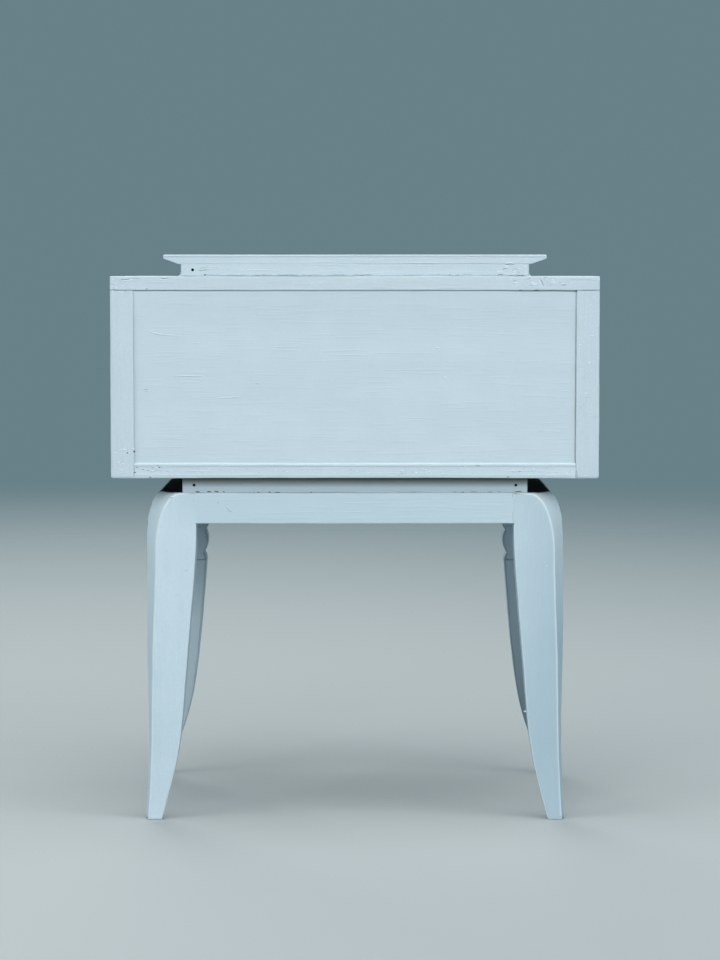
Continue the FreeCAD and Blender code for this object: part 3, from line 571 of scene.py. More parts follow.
def makePanel(p=backPanel):
    low, high = panelLow, panelHigh
    side, band = innerHalf, p["fineBand"] * mm

    def even(start, end, step):
        return np.linspace(start, end, round((end - start) / (step * mm)) + 1)
    # grid lines stand close together where the face dips into the gaps
    x = np.unique(np.concatenate([
        [low[0]], even(-side - p["reach"] * mm, band - side, p["fineStep"]),
        even(band - side, side - band, p["step"]),
        even(side - band, side + p["reach"] * mm, p["fineStep"]), [high[0]]]))
    z = np.unique(np.concatenate([
        [low[2]], even(floorZ - p["reach"] * mm, ceilingZ - band, p["step"]),
        even(ceilingZ - band, ceilingZ + p["reach"] * mm, p["fineStep"]), [high[2]]]))
    grid = np.stack(np.meshgrid(x, z, indexing="ij"), axis=-1)

    def dip(distance, gap):
        # depth at the edge, 0 away from it, joined by a smooth step t^2 (3 - 2 t)
        t = np.clip((gap[0] * mm - distance) / (p["blur"] * mm) + 0.5, 0, 1)
        return gap[1] * mm * t * t * (3 - 2 * t)
    topWidth = np.interp(grid[..., 0], np.array(p["topGapAt"]) * mm, p["topGap"][0])
    beside = np.maximum(dip(side - grid[..., 0], p["leftGap"]), dip(side + grid[..., 0], p["rightGap"]))
    sink = np.maximum(dip(ceilingZ - grid[..., 1], (topWidth, p["topGap"][1])), beside)
    # the thick paint is a swell that falls off as the same smooth step
    near = np.clip(1 - (ceilingZ - grid[..., 1]) / (p["swellReach"] * mm), 0, 1)
    out = np.where(grid[..., 1] > ceilingZ, 0, p["swell"] * mm * near ** 2 * (3 - 2 * near))
    rearFace = np.stack([grid[..., 0], high[1] + out - sink, grid[..., 1]], axis=-1).reshape(-1, 3)
    frontFace = rearFace.copy()
    frontFace[:, 1] = low[1]
    number = np.arange(sink.size).reshape(sink.shape)
    border = np.concatenate([number[0, :-1], number[:-1, -1], number[-1, :0:-1], number[:0:-1, 0]])
    following = np.roll(border, -1)
    rim = sideBySide(border, following, following + sink.size, border + sink.size)
    faces = [gridQuads(*sink.shape)[:, ::-1], gridQuads(*sink.shape, sink.size), rim[:, ::-1]]
    # painted shade: near black in the gaps round the panel, growing with their depth
    paintedShadeDark = np.clip(sink / (p["shadeDepth"] * mm) - p["shadeFree"], 0, p["shadeMost"]).reshape(-1)

    def slots(centres):
        # bare plywood inside the case
        return centres[:, 1] < low[1] + 0.5 * mm
    addPiece("backPanel", np.concatenate([rearFace, frontFace]), faces, [paintX, plywood], ["back_panel"],
             slots=slots, attributes={"paintedShadeDark": np.concatenate([paintedShadeDark, np.zeros(sink.size)])})
    print("back panel made")


# The plate on the plinth: bevelled underneath at the front and at both ends, with blunt tips and, on its rear
# edge, a shallow groove below the arris, darkened grey blue as painted shade
plate = {"lip": 4.0, "bevel": 15.5, "round": 1.2, "tip": 1.9, "rearRound": 0.8, "underRound": 0.4, "step": 6,
         "fineStep": 0.35, "lineDrop": 2.35, "lineDepth": 0.12, "lineWidth": 0.85, "lineShade": 0.45}
cove = {"size": 4.3, "buried": 1.1, "rim": 0.4}


def makePlate(p=plate, q=cove):
    low, high = plateLow, plateHigh
    tip, arris, rearArris, under, step, fine = (
        p[key] * mm for key in ("tip", "round", "rearRound", "underRound", "step", "fineStep"))
    points, quads = boardSurface(low, high, (tip, tip, under), (tip, rearArris, arris), (step, step, fine))
    # below the lip the board narrows evenly to its underside, by the bevel at each end and at the front
    lipZ = high[2] - p["lip"] * mm
    share = np.clip((lipZ - points[:, 2]) / (lipZ - low[2]), 0, 1) * p["bevel"] * mm
    points[:, 0] *= 1 - share / high[0]
    points[:, 1] += share * (high[1] - points[:, 1]) / (high[1] - low[1])
    onRear = np.clip((points[:, 1] - high[1] + mm) / mm, 0, 1)
    fromLine = (points[:, 2] - high[2] + p["lineDrop"] * mm) / (p["lineWidth"] * mm)
    line = onRear * np.exp(-fromLine ** 2)
    points[:, 1] -= line * p["lineDepth"] * mm
    # painted shade in the groove below the arris
    addPiece("topPlate", points, [quads], [roughPaintX], ["top_plate"],
             attributes={"paintedShade": line * p["lineShade"]})

    # paint and filler make a small cove where the plinth's ends meet the case: an outline of a concave quarter
    # circle and its buried corner, carried from rear to front
    size, buried = q["size"] * mm, q["buried"] * mm
    quarter = np.linspace(0, np.pi / 2, 7)
    arc = sideBySide(size * (1 - np.sin(quarter)), size * (1 - np.cos(quarter)))
    corner = np.linspace([size, 0], [0, size], 7)
    outline = np.concatenate([arc, np.minimum(arc, corner[::-1])[::-1] - buried])
    for side, name in ((-1, "plinthCoveLeft"), (1, "plinthCoveRight")):
        swept, faces = sweptSurface(outline, outline, q["rim"] * mm, blockHigh[1] - blockFront, across=30)
        points = sideBySide(side * (blockHigh[0] + swept[:, 0]), blockHigh[1] - swept[:, 2],
                            paintedTopZ + swept[:, 1])
        addPiece(name, points, faces, [paintX])
    print("plate and coves made")


# Leg outlines, measured outward from the joint of rail and leg
legs = {
    "joint": 163.0, "depth": 36.0, "footDepth": 13.0, "taperTop": 300.0, "rim": 1.7, "jointRim": 0.12,
    "openJointRim": 0.40, "sideRailWidth": 45, "railArris": 0.9,
    # where the frame's top turns near black as painted shade, and the ledge before it that keeps its coat
    "shadeHeight": 0.9, "shadeFade": 0.7, "ledge": 8.0, "ledgeFade": 3,
    "narrow": {"outer": 42.0, "run": 26.0, "drop": 60.0, "ankle": 48.0, "foot": 50.8},
    "wide": {"outer": 53.5, "run": 17.0, "drop": 50.0, "ankle": 55.6, "foot": 60.9},
    "heights": {"ankle": 48.0, "knee": 67.0, "calf": 124.0, "thigh": 236.0},
    "inner": {"thigh": 4.0, "calf": 13.5, "knee": 20.0, "foot": 36.5}, "flare": 1.3,
    "kickStart": 170.0, "kickInner": 15.5, "kickOuter": 12.5, "paintedLightTone": 1.18, "railPaintedShade": 0.48,
    "rows": 60, "shoulderRows": 34, "notchRows": 40, "nearNotch": (-3, -1.2, -0.5, -0.15, 0, 0.15, 0.5, 1.2, 3),
    "scallop": {"chord": 25.7, "rise": 3.6, "drop": 3.4, "upper": 4.0, "lower": 6.0,
                "easeHeight": 9.5, "easeOffset": 3.3, "easeRise": 0.9},
}


def splineAt(places, knots, values, startSlope, endSlope):
    # the smooth cubic through points whose slopes at both ends are given: the slopes at the inner points make
    # its second derivative continuous, and between points it is a Hermite cubic
    knots, values = np.asarray(knots, float), np.asarray(values, float)
    gaps, rises = np.diff(knots), np.diff(values)
    count = len(knots)
    system, target = np.eye(count), np.zeros(count)
    target[0], target[-1] = startSlope, endSlope
    inner = np.arange(1, count - 1)
    system[inner, inner - 1] = 1 / gaps[:-1]
    system[inner, inner] = 2 * (1 / gaps[:-1] + 1 / gaps[1:])
    system[inner, inner + 1] = 1 / gaps[1:]
    target[1:-1] = 3 * (rises[:-1] / gaps[:-1] ** 2 + rises[1:] / gaps[1:] ** 2)
    slopes = np.linalg.solve(system, target)
    k = np.clip(np.searchsorted(knots, places, side="right") - 1, 0, count - 2)
    t = (places - knots[k]) / gaps[k]
    return (values[k] * (1 + 2 * t) * (1 - t) ** 2 + values[k + 1] * t ** 2 * (3 - 2 * t)
            + gaps[k] * (slopes[k] * t * (1 - t) ** 2 - slopes[k + 1] * t ** 2 * (1 - t)))


def arcBulge(place, chord, rise):
    # height of an arc of that chord and rise over its chord, place measured from one end of it
    radius = (chord ** 2 / 4 + rise ** 2) / (2 * rise)
    return np.sqrt(np.maximum(radius ** 2 - (place - chord / 2) ** 2, 0)) - (radius - rise)


def kick(z, amount, p=legs):
    return amount * (np.maximum(p["kickStart"] - z, 0) / p["kickStart"]) ** 2


def outerEdge(z, face, outward, p=legs):
    # below the shoulder a smooth curve through ankle and foot, above it a quarter of an ellipse
    waist = frameTopZ / mm - face["drop"]
    h = p["heights"]
    middle = (h["calf"] + h["thigh"]) / 2
    slope = -p["flare"] * (face["foot"] - face["ankle"]) / h["ankle"] - 2 * outward / p["kickStart"]
    curve = splineAt(np.minimum(z, waist), [0, h["ankle"], middle, waist],
                     [face["foot"] + kick(0.0, outward), face["ankle"] + kick(h["ankle"], outward),
                      (face["outer"] + face["ankle"]) / 2, face["outer"]], slope, 0.0)
    rise = np.clip((z - waist) / face["drop"], 0, 1)
    shoulder = face["outer"] - face["run"] * (1 - np.sqrt(1 - rise ** 2))
    return np.where(z > waist, shoulder, curve)


def innerEdge(z, isFront, p=legs):
    # rear legs: one smooth curve up to the rail. Front legs: a curve, a small easing arc and two scallops
    h, i, s = p["heights"], p["inner"], p["scallop"]
    railZ = railLow[2] / mm
    inward = p["kickInner"] if isFront else 0.0
    slope = -(i["foot"] - i["knee"]) / h["knee"] - 2 * inward / p["kickStart"]
    low = [i[key] + kick(z0, inward) for key, z0 in (("foot", 0.0), ("knee", h["knee"]), ("calf", h["calf"]))]
    if not isFront:
        edge = splineAt(np.minimum(z, railZ), [0, h["knee"], h["calf"], h["thigh"], railZ],
                        low + [i["thigh"], 0.0], slope, 0.0)
        return np.where(z > railZ, 0.0, edge)
    notch = railZ - s["drop"]
    lower = notch - 2 * s["chord"]
    ease = lower - s["easeHeight"]
    edge = splineAt(np.minimum(z, ease), [0, h["knee"], h["calf"], ease], low + [s["easeOffset"]], slope,
                    -(i["calf"] - s["easeOffset"]) / (ease - h["calf"]))
    for z0, z1, x0, x1, bulge in ((ease, lower, s["easeOffset"], s["lower"], s["easeRise"]),
                                  (lower, notch - s["chord"], s["lower"], s["upper"], s["rise"]),
                                  (notch - s["chord"], notch, s["upper"], 0.0, s["rise"])):
        share = (z - z0) / (z1 - z0)
        arc = x0 + (x1 - x0) * share - arcBulge(z - z0, z1 - z0, bulge)
        edge = np.where((z > z0) & (z <= z1), arc, edge)
    return np.where(z > notch, 0.0, edge)


def legHeights(isFront, p=legs):
    # even steps up the leg, closer round the shoulder and the scallops' notches
    top, drop = frameTopZ / mm, p["narrow"]["drop"]
    s = p["scallop"]
    notch = railLow[2] / mm - s["drop"]
    shoulder = drop * np.sin(np.linspace(0, np.pi / 2, p["shoulderRows"]))
    steps = [np.linspace(0, top - drop, p["rows"]), top - drop + shoulder, [railLow[2] / mm]]
    if isFront:
        for z in (notch, notch - s["chord"], notch - 2 * s["chord"]):
            steps.append(z + np.array(p["nearNotch"]))
        steps.append(np.linspace(notch - 2 * s["chord"] - 12, notch, p["notchRows"]))
    heights = np.unique(np.round(np.concatenate(steps), 3))
    return heights[np.concatenate([[True], np.diff(heights) > 0.04])]


def shadedTop(points, nearFace, p=legs):
    # the frame's top keeps its coat only as far in as the spacer; behind that it is coloured near black as
    # painted shade
    upper = np.clip((points[:, 2] - (frameTopZ - p["shadeHeight"] * mm)) / (p["shadeFade"] * mm), 0, 1)
    return upper * np.clip((np.abs(points[:, 1] - nearFace) - p["ledge"] * mm) / (p["ledgeFade"] * mm), 0, 1)


# How much painted shade each leg has at five heights up from the floor: at the inner and at the outer edge of
# its near face, and on its outer side, to which it turns over a twelfth of the depth. On the front legs the
# rear face is darkened, grey blue and near black, as painted shade where the case above shades it
legLightAndShade = {
    "heights": (0.0, 80.0, 180.0, 300.0, 330.0), "onInnerSide": 1.0, "turnPart": 12,
    "leg_rear_right": {"inner": (0.28, 0.37, 0.27, 0.30, 0.52), "outer": (0.28, 0.45, 0.34, 0.22, 0.22),
                       "side": (0.45, 0.45, 0.42, 0.10, 0.0)},
    "leg_rear_left": {"inner": (0.69, 0.78, 0.57, 0.48, 0.52), "outer": (0.76, 0.87, 0.82, 0.68, 0.61),
                      "side": (0.95, 0.95, 1.0, 0.3, 0.0)},
    "leg_front_right": {"rear": (0.4, 0.4, 0.3, 0.9, 1.0), "dark": (0.0, 0.0, 0.0, 0.36, 0.45)},
    "leg_front_left": {"rear": (1.0, 1.0, 1.0, 1.0, 1.0), "dark": (0.5, 0.5, 0.3, 0.14, 0.1)},
}


def legPaintedShade(node, across, height, distance, depth, isInner, p=legLightAndShade):
    # painted shade, grey blue and near black: mixed between the heights, and from edge to edge or from face to
    # face.
    # Half a rim in from the near face the arris is left without it, as a painted highlight
    rim = legs["rim"]
    values = {key: np.interp(height, p["heights"], row) for key, row in p[node].items()}
    if "rear" in values:
        share = np.clip(2 * distance / depth - 1, 0, 1)
        return values["rear"] * share, values["dark"] * share
    nearFace = values["inner"] * (1 - across) + values["outer"] * across
    deep = np.clip(distance / (depth / p["turnPart"]), 0, 1)
    side = np.where(isInner, p["onInnerSide"], values["side"])
    offArris = np.where(distance > 0, np.clip(np.abs(distance - rim / 2) / rim, 0, 1), 1)
    return (nearFace * (1 - deep) + side * deep) * offArris, np.zeros(len(across))


def makeLeg(name, node, side, isFront, material, jointRim, p=legs):
    z = legHeights(isFront)
    outward = p["kickOuter"] if isFront else 0.0
    inner = sideBySide(innerEdge(z, isFront), z)
    near, far = (np.concatenate([inner, sideBySide(outerEdge(z, p[face], outward), z)[::-1]])
                 for face in ("narrow", "wide"))
    # below taperTop the leg thins towards the foot along a circle of radius R: depth - (R - sqrt(R^2 - d^2))
    thinning = p["depth"] - p["footDepth"]
    radius = (p["taperTop"] ** 2 + thinning ** 2) / (2 * thinning)
    below = np.maximum(p["taperTop"] - near[:, 1], 0)
    depth = p["depth"] - (radius - np.sqrt(radius ** 2 - below ** 2))
    rim = np.full(len(near), p["rim"])
    rim[:len(z)][z >= railLow[2] / mm] = jointRim
    swept, faces = sweptSurface(near, far, rim, p["depth"], across=6, depth=depth)
    face, way = (apronLow[1], 1) if isFront else (frameRear, -1)
    points = sideBySide(side * (p["joint"] + swept[:, 0]) * mm, face + way * swept[:, 2] * mm,
                        swept[:, 1] * mm)
    rings = len(swept) // len(near)
    isInner = np.tile(np.arange(len(near)) < len(z), rings)
    thin, dark = legPaintedShade(node, np.clip(swept[:, 0] / p["narrow"]["outer"], 0, 1), swept[:, 1], swept[:, 2],
                         np.tile(depth, rings), isInner & (swept[:, 1] < railLow[2] / mm))
    addPiece(name, points, faces, [material], [node],
             attributes={"paintedShadeDark": np.maximum(shadedTop(points, face), dark), "paintedShade": thin})


def makeLegs(p=legs):
    closed, opened = p["jointRim"], p["openJointRim"]
    # a lighter copy of the paint, as painted light, which the painted shade then darkens
    paintedLightCoat = brushedPaint("chalkPaintLitCopy", "Z", p["paintedLightTone"], relief=2.2)
    makeLeg("legRearRight", "leg_rear_right", 1, False, paintedLightCoat, closed)
    makeLeg("legRearLeft", "leg_rear_left", -1, False, paintedLightCoat, opened)
    makeLeg("legFrontRight", "leg_front_right", 1, True, paintZ, closed)
    makeLeg("legFrontLeft", "leg_front_left", -1, True, paintZ, closed)
    print("legs made")


def makeRails(p=legs):
    rimSize, joint, s = p["railArris"] * mm, p["joint"] * mm, p["scallop"]
    # rear rail: two level edges between the joints, where it is barely eased
    x = np.linspace(-joint, joint, p["rows"])
    outline = np.concatenate([sideBySide(x, railLow[2]), sideBySide(x, frameTopZ)[::-1]])
    rim = np.full(len(outline), rimSize)
    rim[[0, len(x) - 1, len(x), -1]] = p["jointRim"] * mm
    swept, faces = sweptSurface(outline, outline, rim, railHigh[1] - railLow[1], across=4)
    points = sideBySide(swept[:, 0], frameRear - swept[:, 2], swept[:, 1])
    # the rail is darkened grey blue as painted shade, except along the lower arris, left light as a painted
    # highlight
    onArris = (swept[:, 2] > 0) & (swept[:, 2] < 2 * rimSize) & (swept[:, 1] < railLow[2] + rimSize)
    addPiece("rearRail", points, faces, [brushedPaint("chalkPaintRailLit", "X", p["paintedLightTone"])], ["rear_rail"],
             attributes={"paintedShade": np.where(onArris, 0, p["railPaintedShade"]), "paintedShadeDark": shadedTop(points, frameRear)})

    # apron: the same with a row of equal arcs along its lower edge
    count = round(2 * joint / mm / s["chord"])
    chord = 2 * joint / count
    x = np.linspace(-joint, joint, count * 12 + 1)
    low = railLow[2] - s["drop"] * mm - arcBulge((x + joint) % chord, chord, s["rise"] * mm)
    outline = np.concatenate([sideBySide(x, low), sideBySide(x, frameTopZ)[::-1]])
    swept, faces = sweptSurface(outline, outline, rimSize, apronHigh[1] - apronLow[1], across=4)
    points = sideBySide(swept[:, 0], apronLow[1] + swept[:, 2], swept[:, 1])
    addPiece("frontApron", points, faces, [paintX], ["front_apron"])

    # side rails: the shoulder of the legs' wide faces carried from leg to leg
    lean = np.sin(np.linspace(0, np.pi / 2, p["shoulderRows"]))
    z = (railLow[2] + (frameTopZ - railLow[2]) * lean) / mm
    outer = sideBySide(p["joint"] + outerEdge(z, p["wide"], 0.0), z)
    inner = sideBySide(p["joint"] + p["wide"]["outer"] - p["sideRailWidth"], z)
    outline = np.concatenate([inner, outer[::-1]]) * mm
    start, end = apronLow[1] + p["depth"] * mm, frameRear - p["depth"] * mm
    for side, name, node in ((1, "sideRailRight", "side_rail_right"), (-1, "sideRailLeft", "side_rail_left")):
        swept, faces = sweptSurface(outline, outline, p["jointRim"] * mm, end - start, across=30)
        points = sideBySide(side * swept[:, 0], start + swept[:, 2], swept[:, 1])
        addPiece(name, points, faces, [paintY], [node], attributes={"paintedShadeDark": shadedTop(points, frameRear)})
    print("rails made")


# Battens, drawer and fixings keep their solids. Nails stand 12 mm in from the batten ends, at mid height
nails = {"inset": 12, "radius": 1.5, "painted": (-110, 155.5)}


def dress(nodes, material):
    for node in nodes:
        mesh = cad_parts[node].data
        mesh.materials.clear()
        mesh.materials.append(material)


def dressSolids(p=nails):
    def holesIn(low, high, sides):
        x, z = high[0] - p["inset"] * mm, (low[2] + high[2]) / 2
        return [(side * x, z, p["radius"] * mm) for side in sides]
    # the nail holes are painted near black, a little wider than the bore, as the shade inside them
    dress(["top_batten_rear"], brushedPaint("chalkPaintPunchedBlock", "X", relief=2.0,
                                            holes=holesIn(blockLow, blockHigh, [1])))
    # the spacer: its lighter tone and its darkening towards the top are painted light and shade under the case
    dress(["base_batten_rear"], brushedPaint("chalkPaintPunchedSpacerShaded", "X", tone=1.06, relief=2.0,
                                             shadedUpTo=spacerHigh[2],
                                             holes=holesIn(spacerLow, spacerHigh, [-1, 1])))
    dress(["top_batten_front", "base_batten_front"], paintX)
    dress(["top_batten_left", "top_batten_right", "base_batten_left", "base_batten_right"], paintY)
    dress(["drawer_front"], brushedPaint("chalkPaintDrawerFront", "X",
                                         bareBehind=corners("drawer_front")[1][1] - 0.4 * mm))
    dress(["drawer_side_left", "drawer_side_right", "runner_left", "runner_right"], beechY)
    dress(["drawer_back", "drawer_stops"], beechX)
    dress(["drawer_bottom"], plywood)
    dress(["batten_nails"], bareMetal("darkIronNails", darkIron, [place * mm for place in p["painted"]]))
    dress(["base_screws", "top_screws", "frame_screws", "runner_screws", "bottom_pins", "knob_screws"], steel)
    print("kept solids dressed")


# Turned brass knob: radius and height along its axis, as the solid has them, with eased corners
knob = {"profile": [(0, 24.0), (4, 23.65), (8, 22.6), (11.5, 21.0), (13.6, 19.7), (14.35, 19.0), (14.5, 18.4),
                    (14.35, 17.8), (13.7, 17.2), (11.0, 15.0), (8.0, 12.7), (6.4, 11.4), (5.7, 10.4),
                    (5.5, 9.4), (5.6, 8.2), (6.3, 6.6), (7.6, 4.4), (8.6, 2.8), (8.95, 2.0), (9.0, 1.6),
                    (9.0, 0.4), (8.7, 0.0), (0, 0)], "around": 64}


def makeKnobs(p=knob):
    # the profile turned round its axis: (r cos a, r sin a, h), with a fan of triangles at each end
    profile = np.array(p["profile"]) * mm
    rings = profile[1:-1]
    turn = np.linspace(0, 2 * np.pi, p["around"], endpoint=False)
    shell = np.stack([rings[:, :1] * np.cos(turn), rings[:, :1] * np.sin(turn),
                      np.repeat(rings[:, 1:], p["around"], axis=1)], axis=-1).reshape(-1, 3)
    points = np.concatenate([shell, [[0, 0, profile[0, 1]], [0, 0, profile[-1, 1]]]])
    quads = gridQuads(len(rings), p["around"], closed=True)
    ring = np.arange(p["around"])
    crown = sideBySide(np.roll(ring, -1), ring, len(shell))
    base = sideBySide(ring, np.roll(ring, -1), len(shell) + 1)
    base[:, :2] += (len(rings) - 1) * p["around"]
    for name, node in (("knobLeft", "knob_left"), ("knobRight", "knob_right")):
        low, high = corners(node)
        centre = (low + high) / 2
        placed = sideBySide(centre[0] + points[:, 0], high[1] - points[:, 2], centre[2] + points[:, 1])
        addPiece(name, placed, [quads, crown, base], [brass], [node], body="drawer", uneven=False)
    print("knobs made")


# Marks in the coat. Each is a bent line by its start, bend and end, as (column, row) read off the photograph,
# and its width and height in millimetres. Ridges and dabs stand up in paint; cracks and pits are dark
# and nearly flat, and a mark that gives no height has theirs
crackHeight = 0.05
panelMarks = {
    "hookedRidge": ((149, 331.0), (160, 334.6), (182, 335.7), 1.5, 0.34),
    "straightStroke": ((174, 376.3), (187, 376.2), (204, 376.2), 1.4, 0.32),
    "strokeUnderIt": ((177, 381.8), (188, 381.9), (199, 381.8), 0.9, 0.16),
    "risingStroke": ((214, 397.9), (229, 397.6), (240, 396.7), 1.4, 0.34),
    "pairAbove": ((192, 342.6), (196, 342.7), (200, 342.6), 1.0, 0.18),
    "shortStroke": ((200, 321.9), (204, 322.0), (208, 321.9), 1.0, 0.18),
    "faintStroke": ((272, 346.6), (280, 346.8), (290, 346.6), 1.0, 0.18),
    "faintStrokeBelow": ((271, 349.2), (281, 349.4), (303, 350.2), 1.0, 0.18),
    "dripTop": ((258, 294.0), (262.6, 299), (262.8, 309), 1.7, 0.36),
    "dripEnd": ((262.8, 308), (263, 314), (265, 319.4), 1.6, 0.40),
    "lowDab": ((255.8, 383.6), (257.6, 383.0), (259.6, 383.6), 2.0, 0.42),
    "dabAtLeft": ((144, 391.3), (147, 391.2), (150, 391.4), 1.4, 0.30),
    "dabAtRight": ((435, 348.6), (437, 347.9), (439.4, 348.5), 1.5, 0.24),
    "dabLowerRight": ((442.5, 378.2), (444.5, 377.6), (447, 378.2), 1.5, 0.24),
}
# the drip's shade is a painted shadow beside the drip, not a crack
panelCracks = {
    "nickOverDab": ((143.4, 389.9), (146, 389.9), (148.6, 390.1), 0.34),
    "dripShade": ((261.0, 301), (261.2, 311), (263.3, 320.2), 0.16),
}
boardMarks = {
    "dabByPlinth": ((513.4, 283.2), (515, 282.8), (516.8, 283.2), 1.9, 0.5),
    "dabMiddle": ((531, 283.6), (532.4, 283.0), (534, 283.6), 1.8, 0.5),
    "dabBeside": ((534.8, 285.2), (536, 284.4), (537.4, 284.8), 1.5, 0.4),
    "slantedRidge": ((538.8, 279.4), (540.6, 283.4), (542.4, 286.8), 1.5, 0.55),
    "dabAtRight": ((552.4, 282.6), (553.8, 282.1), (555.4, 282.6), 1.5, 0.4),
    "dabFarRight": ((561, 284.2), (563, 284.0), (565.4, 284.6), 1.6, 0.5),
    "underBentCrack": ((121, 280.6), (127, 280.5), (134, 279.4), 1.1, 0.26),
    "underNick": ((160, 279.0), (163.6, 280.4), (168, 279.0), 1.1, 0.26),
    "stileDab": ((122.8, 450.2), (124.6, 449.6), (126.6, 450.2), 1.7, 0.4),
    "stileDabBelow": ((125, 454.8), (126.6, 454.5), (128.2, 454.8), 1.5, 0.4),
    "jointDab": ((132.2, 449.6), (133.4, 449.2), (134.8, 449.6), 1.6, 0.4),
    "quirkDab": ((151, 471.4), (153.6, 471.1), (156.4, 471.5), 1.4, 0.4),
    "quirkDabBeside": ((158.8, 469.9), (159.7, 469.6), (160.6, 470.1), 1.4, 0.4),
}
# the ridge and dab shades are painted shadows beside raised marks; the gap flecks, bulges and corner pit are
# painted shade
boardCracks = {
    "bentCrack": ((120.6, 279.3), (126.4, 279.6), (131, 278.1), 0.46),
    "bentCrackEnd": ((131.8, 277.5), (134.6, 278.5), (142, 277.8), 0.26),
    "nick": ((160.6, 277.4), (163.6, 279.0), (168.4, 277.6), 0.42),
    "leftJointStart": ((112, 289.2), (116, 290.0), (121, 290.4), 0.34),
    "leftJoint": ((120, 290.4), (127, 290.5), (134, 290.4), 0.26),
    "rightJoint": ((579, 289.5), (589, 289.8), (600, 289.4), 0.26),
    "gapFleck": ((145.6, 289.2), (146.8, 289.0), (148, 289.2), 0.5),
    "gapBulge": ((519, 290.3), (521, 290.0), (523, 290.3), 0.5),
    "gapBulgeRight": ((533.6, 290.4), (536.4, 290.1), (539.4, 290.4), 0.5),
    "besidePlinth": ((526.4, 279.6), (528.6, 279.0), (531.2, 278.0), 0.24),
    "underArris": ((543.4, 277.7), (545.4, 277.4), (547.4, 277.4), 0.26),
    "longUnderArris": ((566, 278.8), (580, 279.6), (594, 278.8), 0.10),
    "ridgeShade": ((540.3, 278.8), (542.0, 282.2), (543.8, 285.8), 0.42),
    "dabShade": ((513.4, 280.9), (515, 280.7), (516.8, 281.0), 0.24),
    "dabShadeRight": ((559, 282.6), (560.6, 282.8), (562.2, 283.2), 0.24),
    "dabShadeBelow": ((560, 285.8), (564, 285.6), (568, 285.8), 0.16),
    "cornerCrack": ((576.3, 470.4), (577.0, 473.4), (577.6, 477.6), 0.34),
    "jointAtFoot": ((134.6, 465.6), (134.2, 471), (134.3, 477.6), 0.16),
    "quirkFleck": ((136.2, 467.5), (137.2, 467.4), (138.4, 467.6), 0.4),
    "quirkFleckBelow": ((141.8, 469.5), (143, 469.4), (144.4, 469.6), 0.3),
    "quirkFleckLeft": ((152, 468.6), (152.6, 468.0), (153.4, 467.4), 0.3),
    "quirkFleckRight": ((156.2, 465.3), (157.6, 465.2), (159, 465.4), 0.3),
    "underQuirk": ((153.4, 470.4), (154.8, 470.2), (156.4, 470.4), 0.26),
    "arrisFleck": ((475.4, 465.2), (477.4, 465.6), (480.4, 466.4), 0.3),
    "chip": ((148.6, 477.7), (150, 477.3), (151.6, 477.7), 0.7),
    "chipRight": ((506.4, 477.4), (507.8, 477.0), (509.2, 477.4), 0.6),
    "stilePit": ((126.7, 453.2), (127.4, 453.1), (128.1, 453.2), 1.5),
    "jointPit": ((133.3, 451.7), (134.1, 451.6), (134.9, 451.7), 1.7),
    "footPit": ((134.4, 472.6), (135.1, 472.5), (135.9, 472.6), 1.2),
    "quirkPit": ((158.7, 467.5), (159.3, 467.4), (159.9, 467.5), 1.2),
    "gapCornerPit": ((575.8, 290.9), (576.5, 290.8), (577.2, 290.9), 1.5),
}
blockMarks = {
    "overUpperScuff": ((504.6, 263.2), (509, 262.9), (514.4, 263.0), 1.1, 0.36),
    "underUpperScuff": ((505, 266.9), (506.8, 266.7), (508.6, 267.0), 1.4, 0.36),
    "underFarScuff": ((513, 270.2), (515, 270.0), (517.2, 270.3), 1.3, 0.36),
    "overLowerScuff": ((496.4, 271.6), (499.6, 271.3), (503, 271.6), 1.1, 0.30),
    "byHole": ((199, 269.5), (203, 269.2), (208, 268.9), 0.9, 0.22),
}
blockCracks = {
    "scuffByHole": ((198.4, 268.4), (203, 268.0), (208, 267.8), 0.24),
    "scuffUnderHole": ((198, 270.9), (203, 270.4), (207.8, 269.9), 0.20),
    "upperScuff": ((504.6, 264.7), (509, 264.2), (514.6, 264.4), 0.46),
    "middleScuff": ((502.8, 269.0), (505.4, 268.5), (508.4, 268.8), 0.30),
    "farScuff": ((513.2, 269.2), (515, 269.0), (517, 269.4), 0.40),
    "lowerScuff": ((496.8, 275.2), (500, 274.7), (503.8, 274.3), 0.62),
    "jointDash": ((447.6, 275.1), (450, 274.9), (452.4, 275.1), 0.5),
    "jointDashRight": ((453.8, 275.3), (457, 275.1), (460.6, 275.4), 0.5),
    "jointEnd": ((518, 275.4), (521, 275.2), (524, 275.4), 0.36),
    "jointPit": ((204.2, 275.0), (204.9, 274.9), (205.6, 275.0), 1.3),
}
frameMarks = {
    "shoulderDab": ((169.6, 498.2), (171, 497.2), (172.6, 498), 1.9, 0.40),
    "shoulderDabBelow": ((172.4, 502.4), (173.6, 501.8), (175, 502.3), 1.6, 0.34),
    "legDab": ((184.8, 571.2), (186, 570.2), (187.4, 571), 1.8, 0.36),
    "legDabBelow": ((176.6, 595.2), (178, 594.4), (179.4, 595.2), 1.7, 0.32),
    "rightLegDab": ((545.8, 567.4), (547, 566.2), (548.4, 567.2), 2.0, 0.42),
    "rightLegDabBelow": ((523.8, 712.2), (525, 711.4), (526.4, 712.2), 1.7, 0.32),
    "squiggle": ((225.4, 505.8), (227.6, 508.2), (231.6, 510.8), 1.2, 0.30),
    "squiggleEnd": ((231, 511.2), (233, 511.6), (236.4, 512.0), 1.1, 0.24),
    "railStroke": ((330, 511), (352, 511.8), (371, 511), 1.0, 0.14),
}
# the squiggle's shade is a painted shadow beside it
frameCracks = {
    "jointHairline": ((512.7, 493), (512.8, 500), (512.6, 506), 0.34),
    "jointHairlineBelow": ((512.6, 505), (512.6, 514), (512.7, 522.6), 0.16),
    "railFleck": ((216.4, 502.7), (217.8, 502.8), (219.2, 503.1), 0.24),
    "squiggleShade": ((226, 508), (228.4, 510.6), (231.8, 512), 0.14),
}
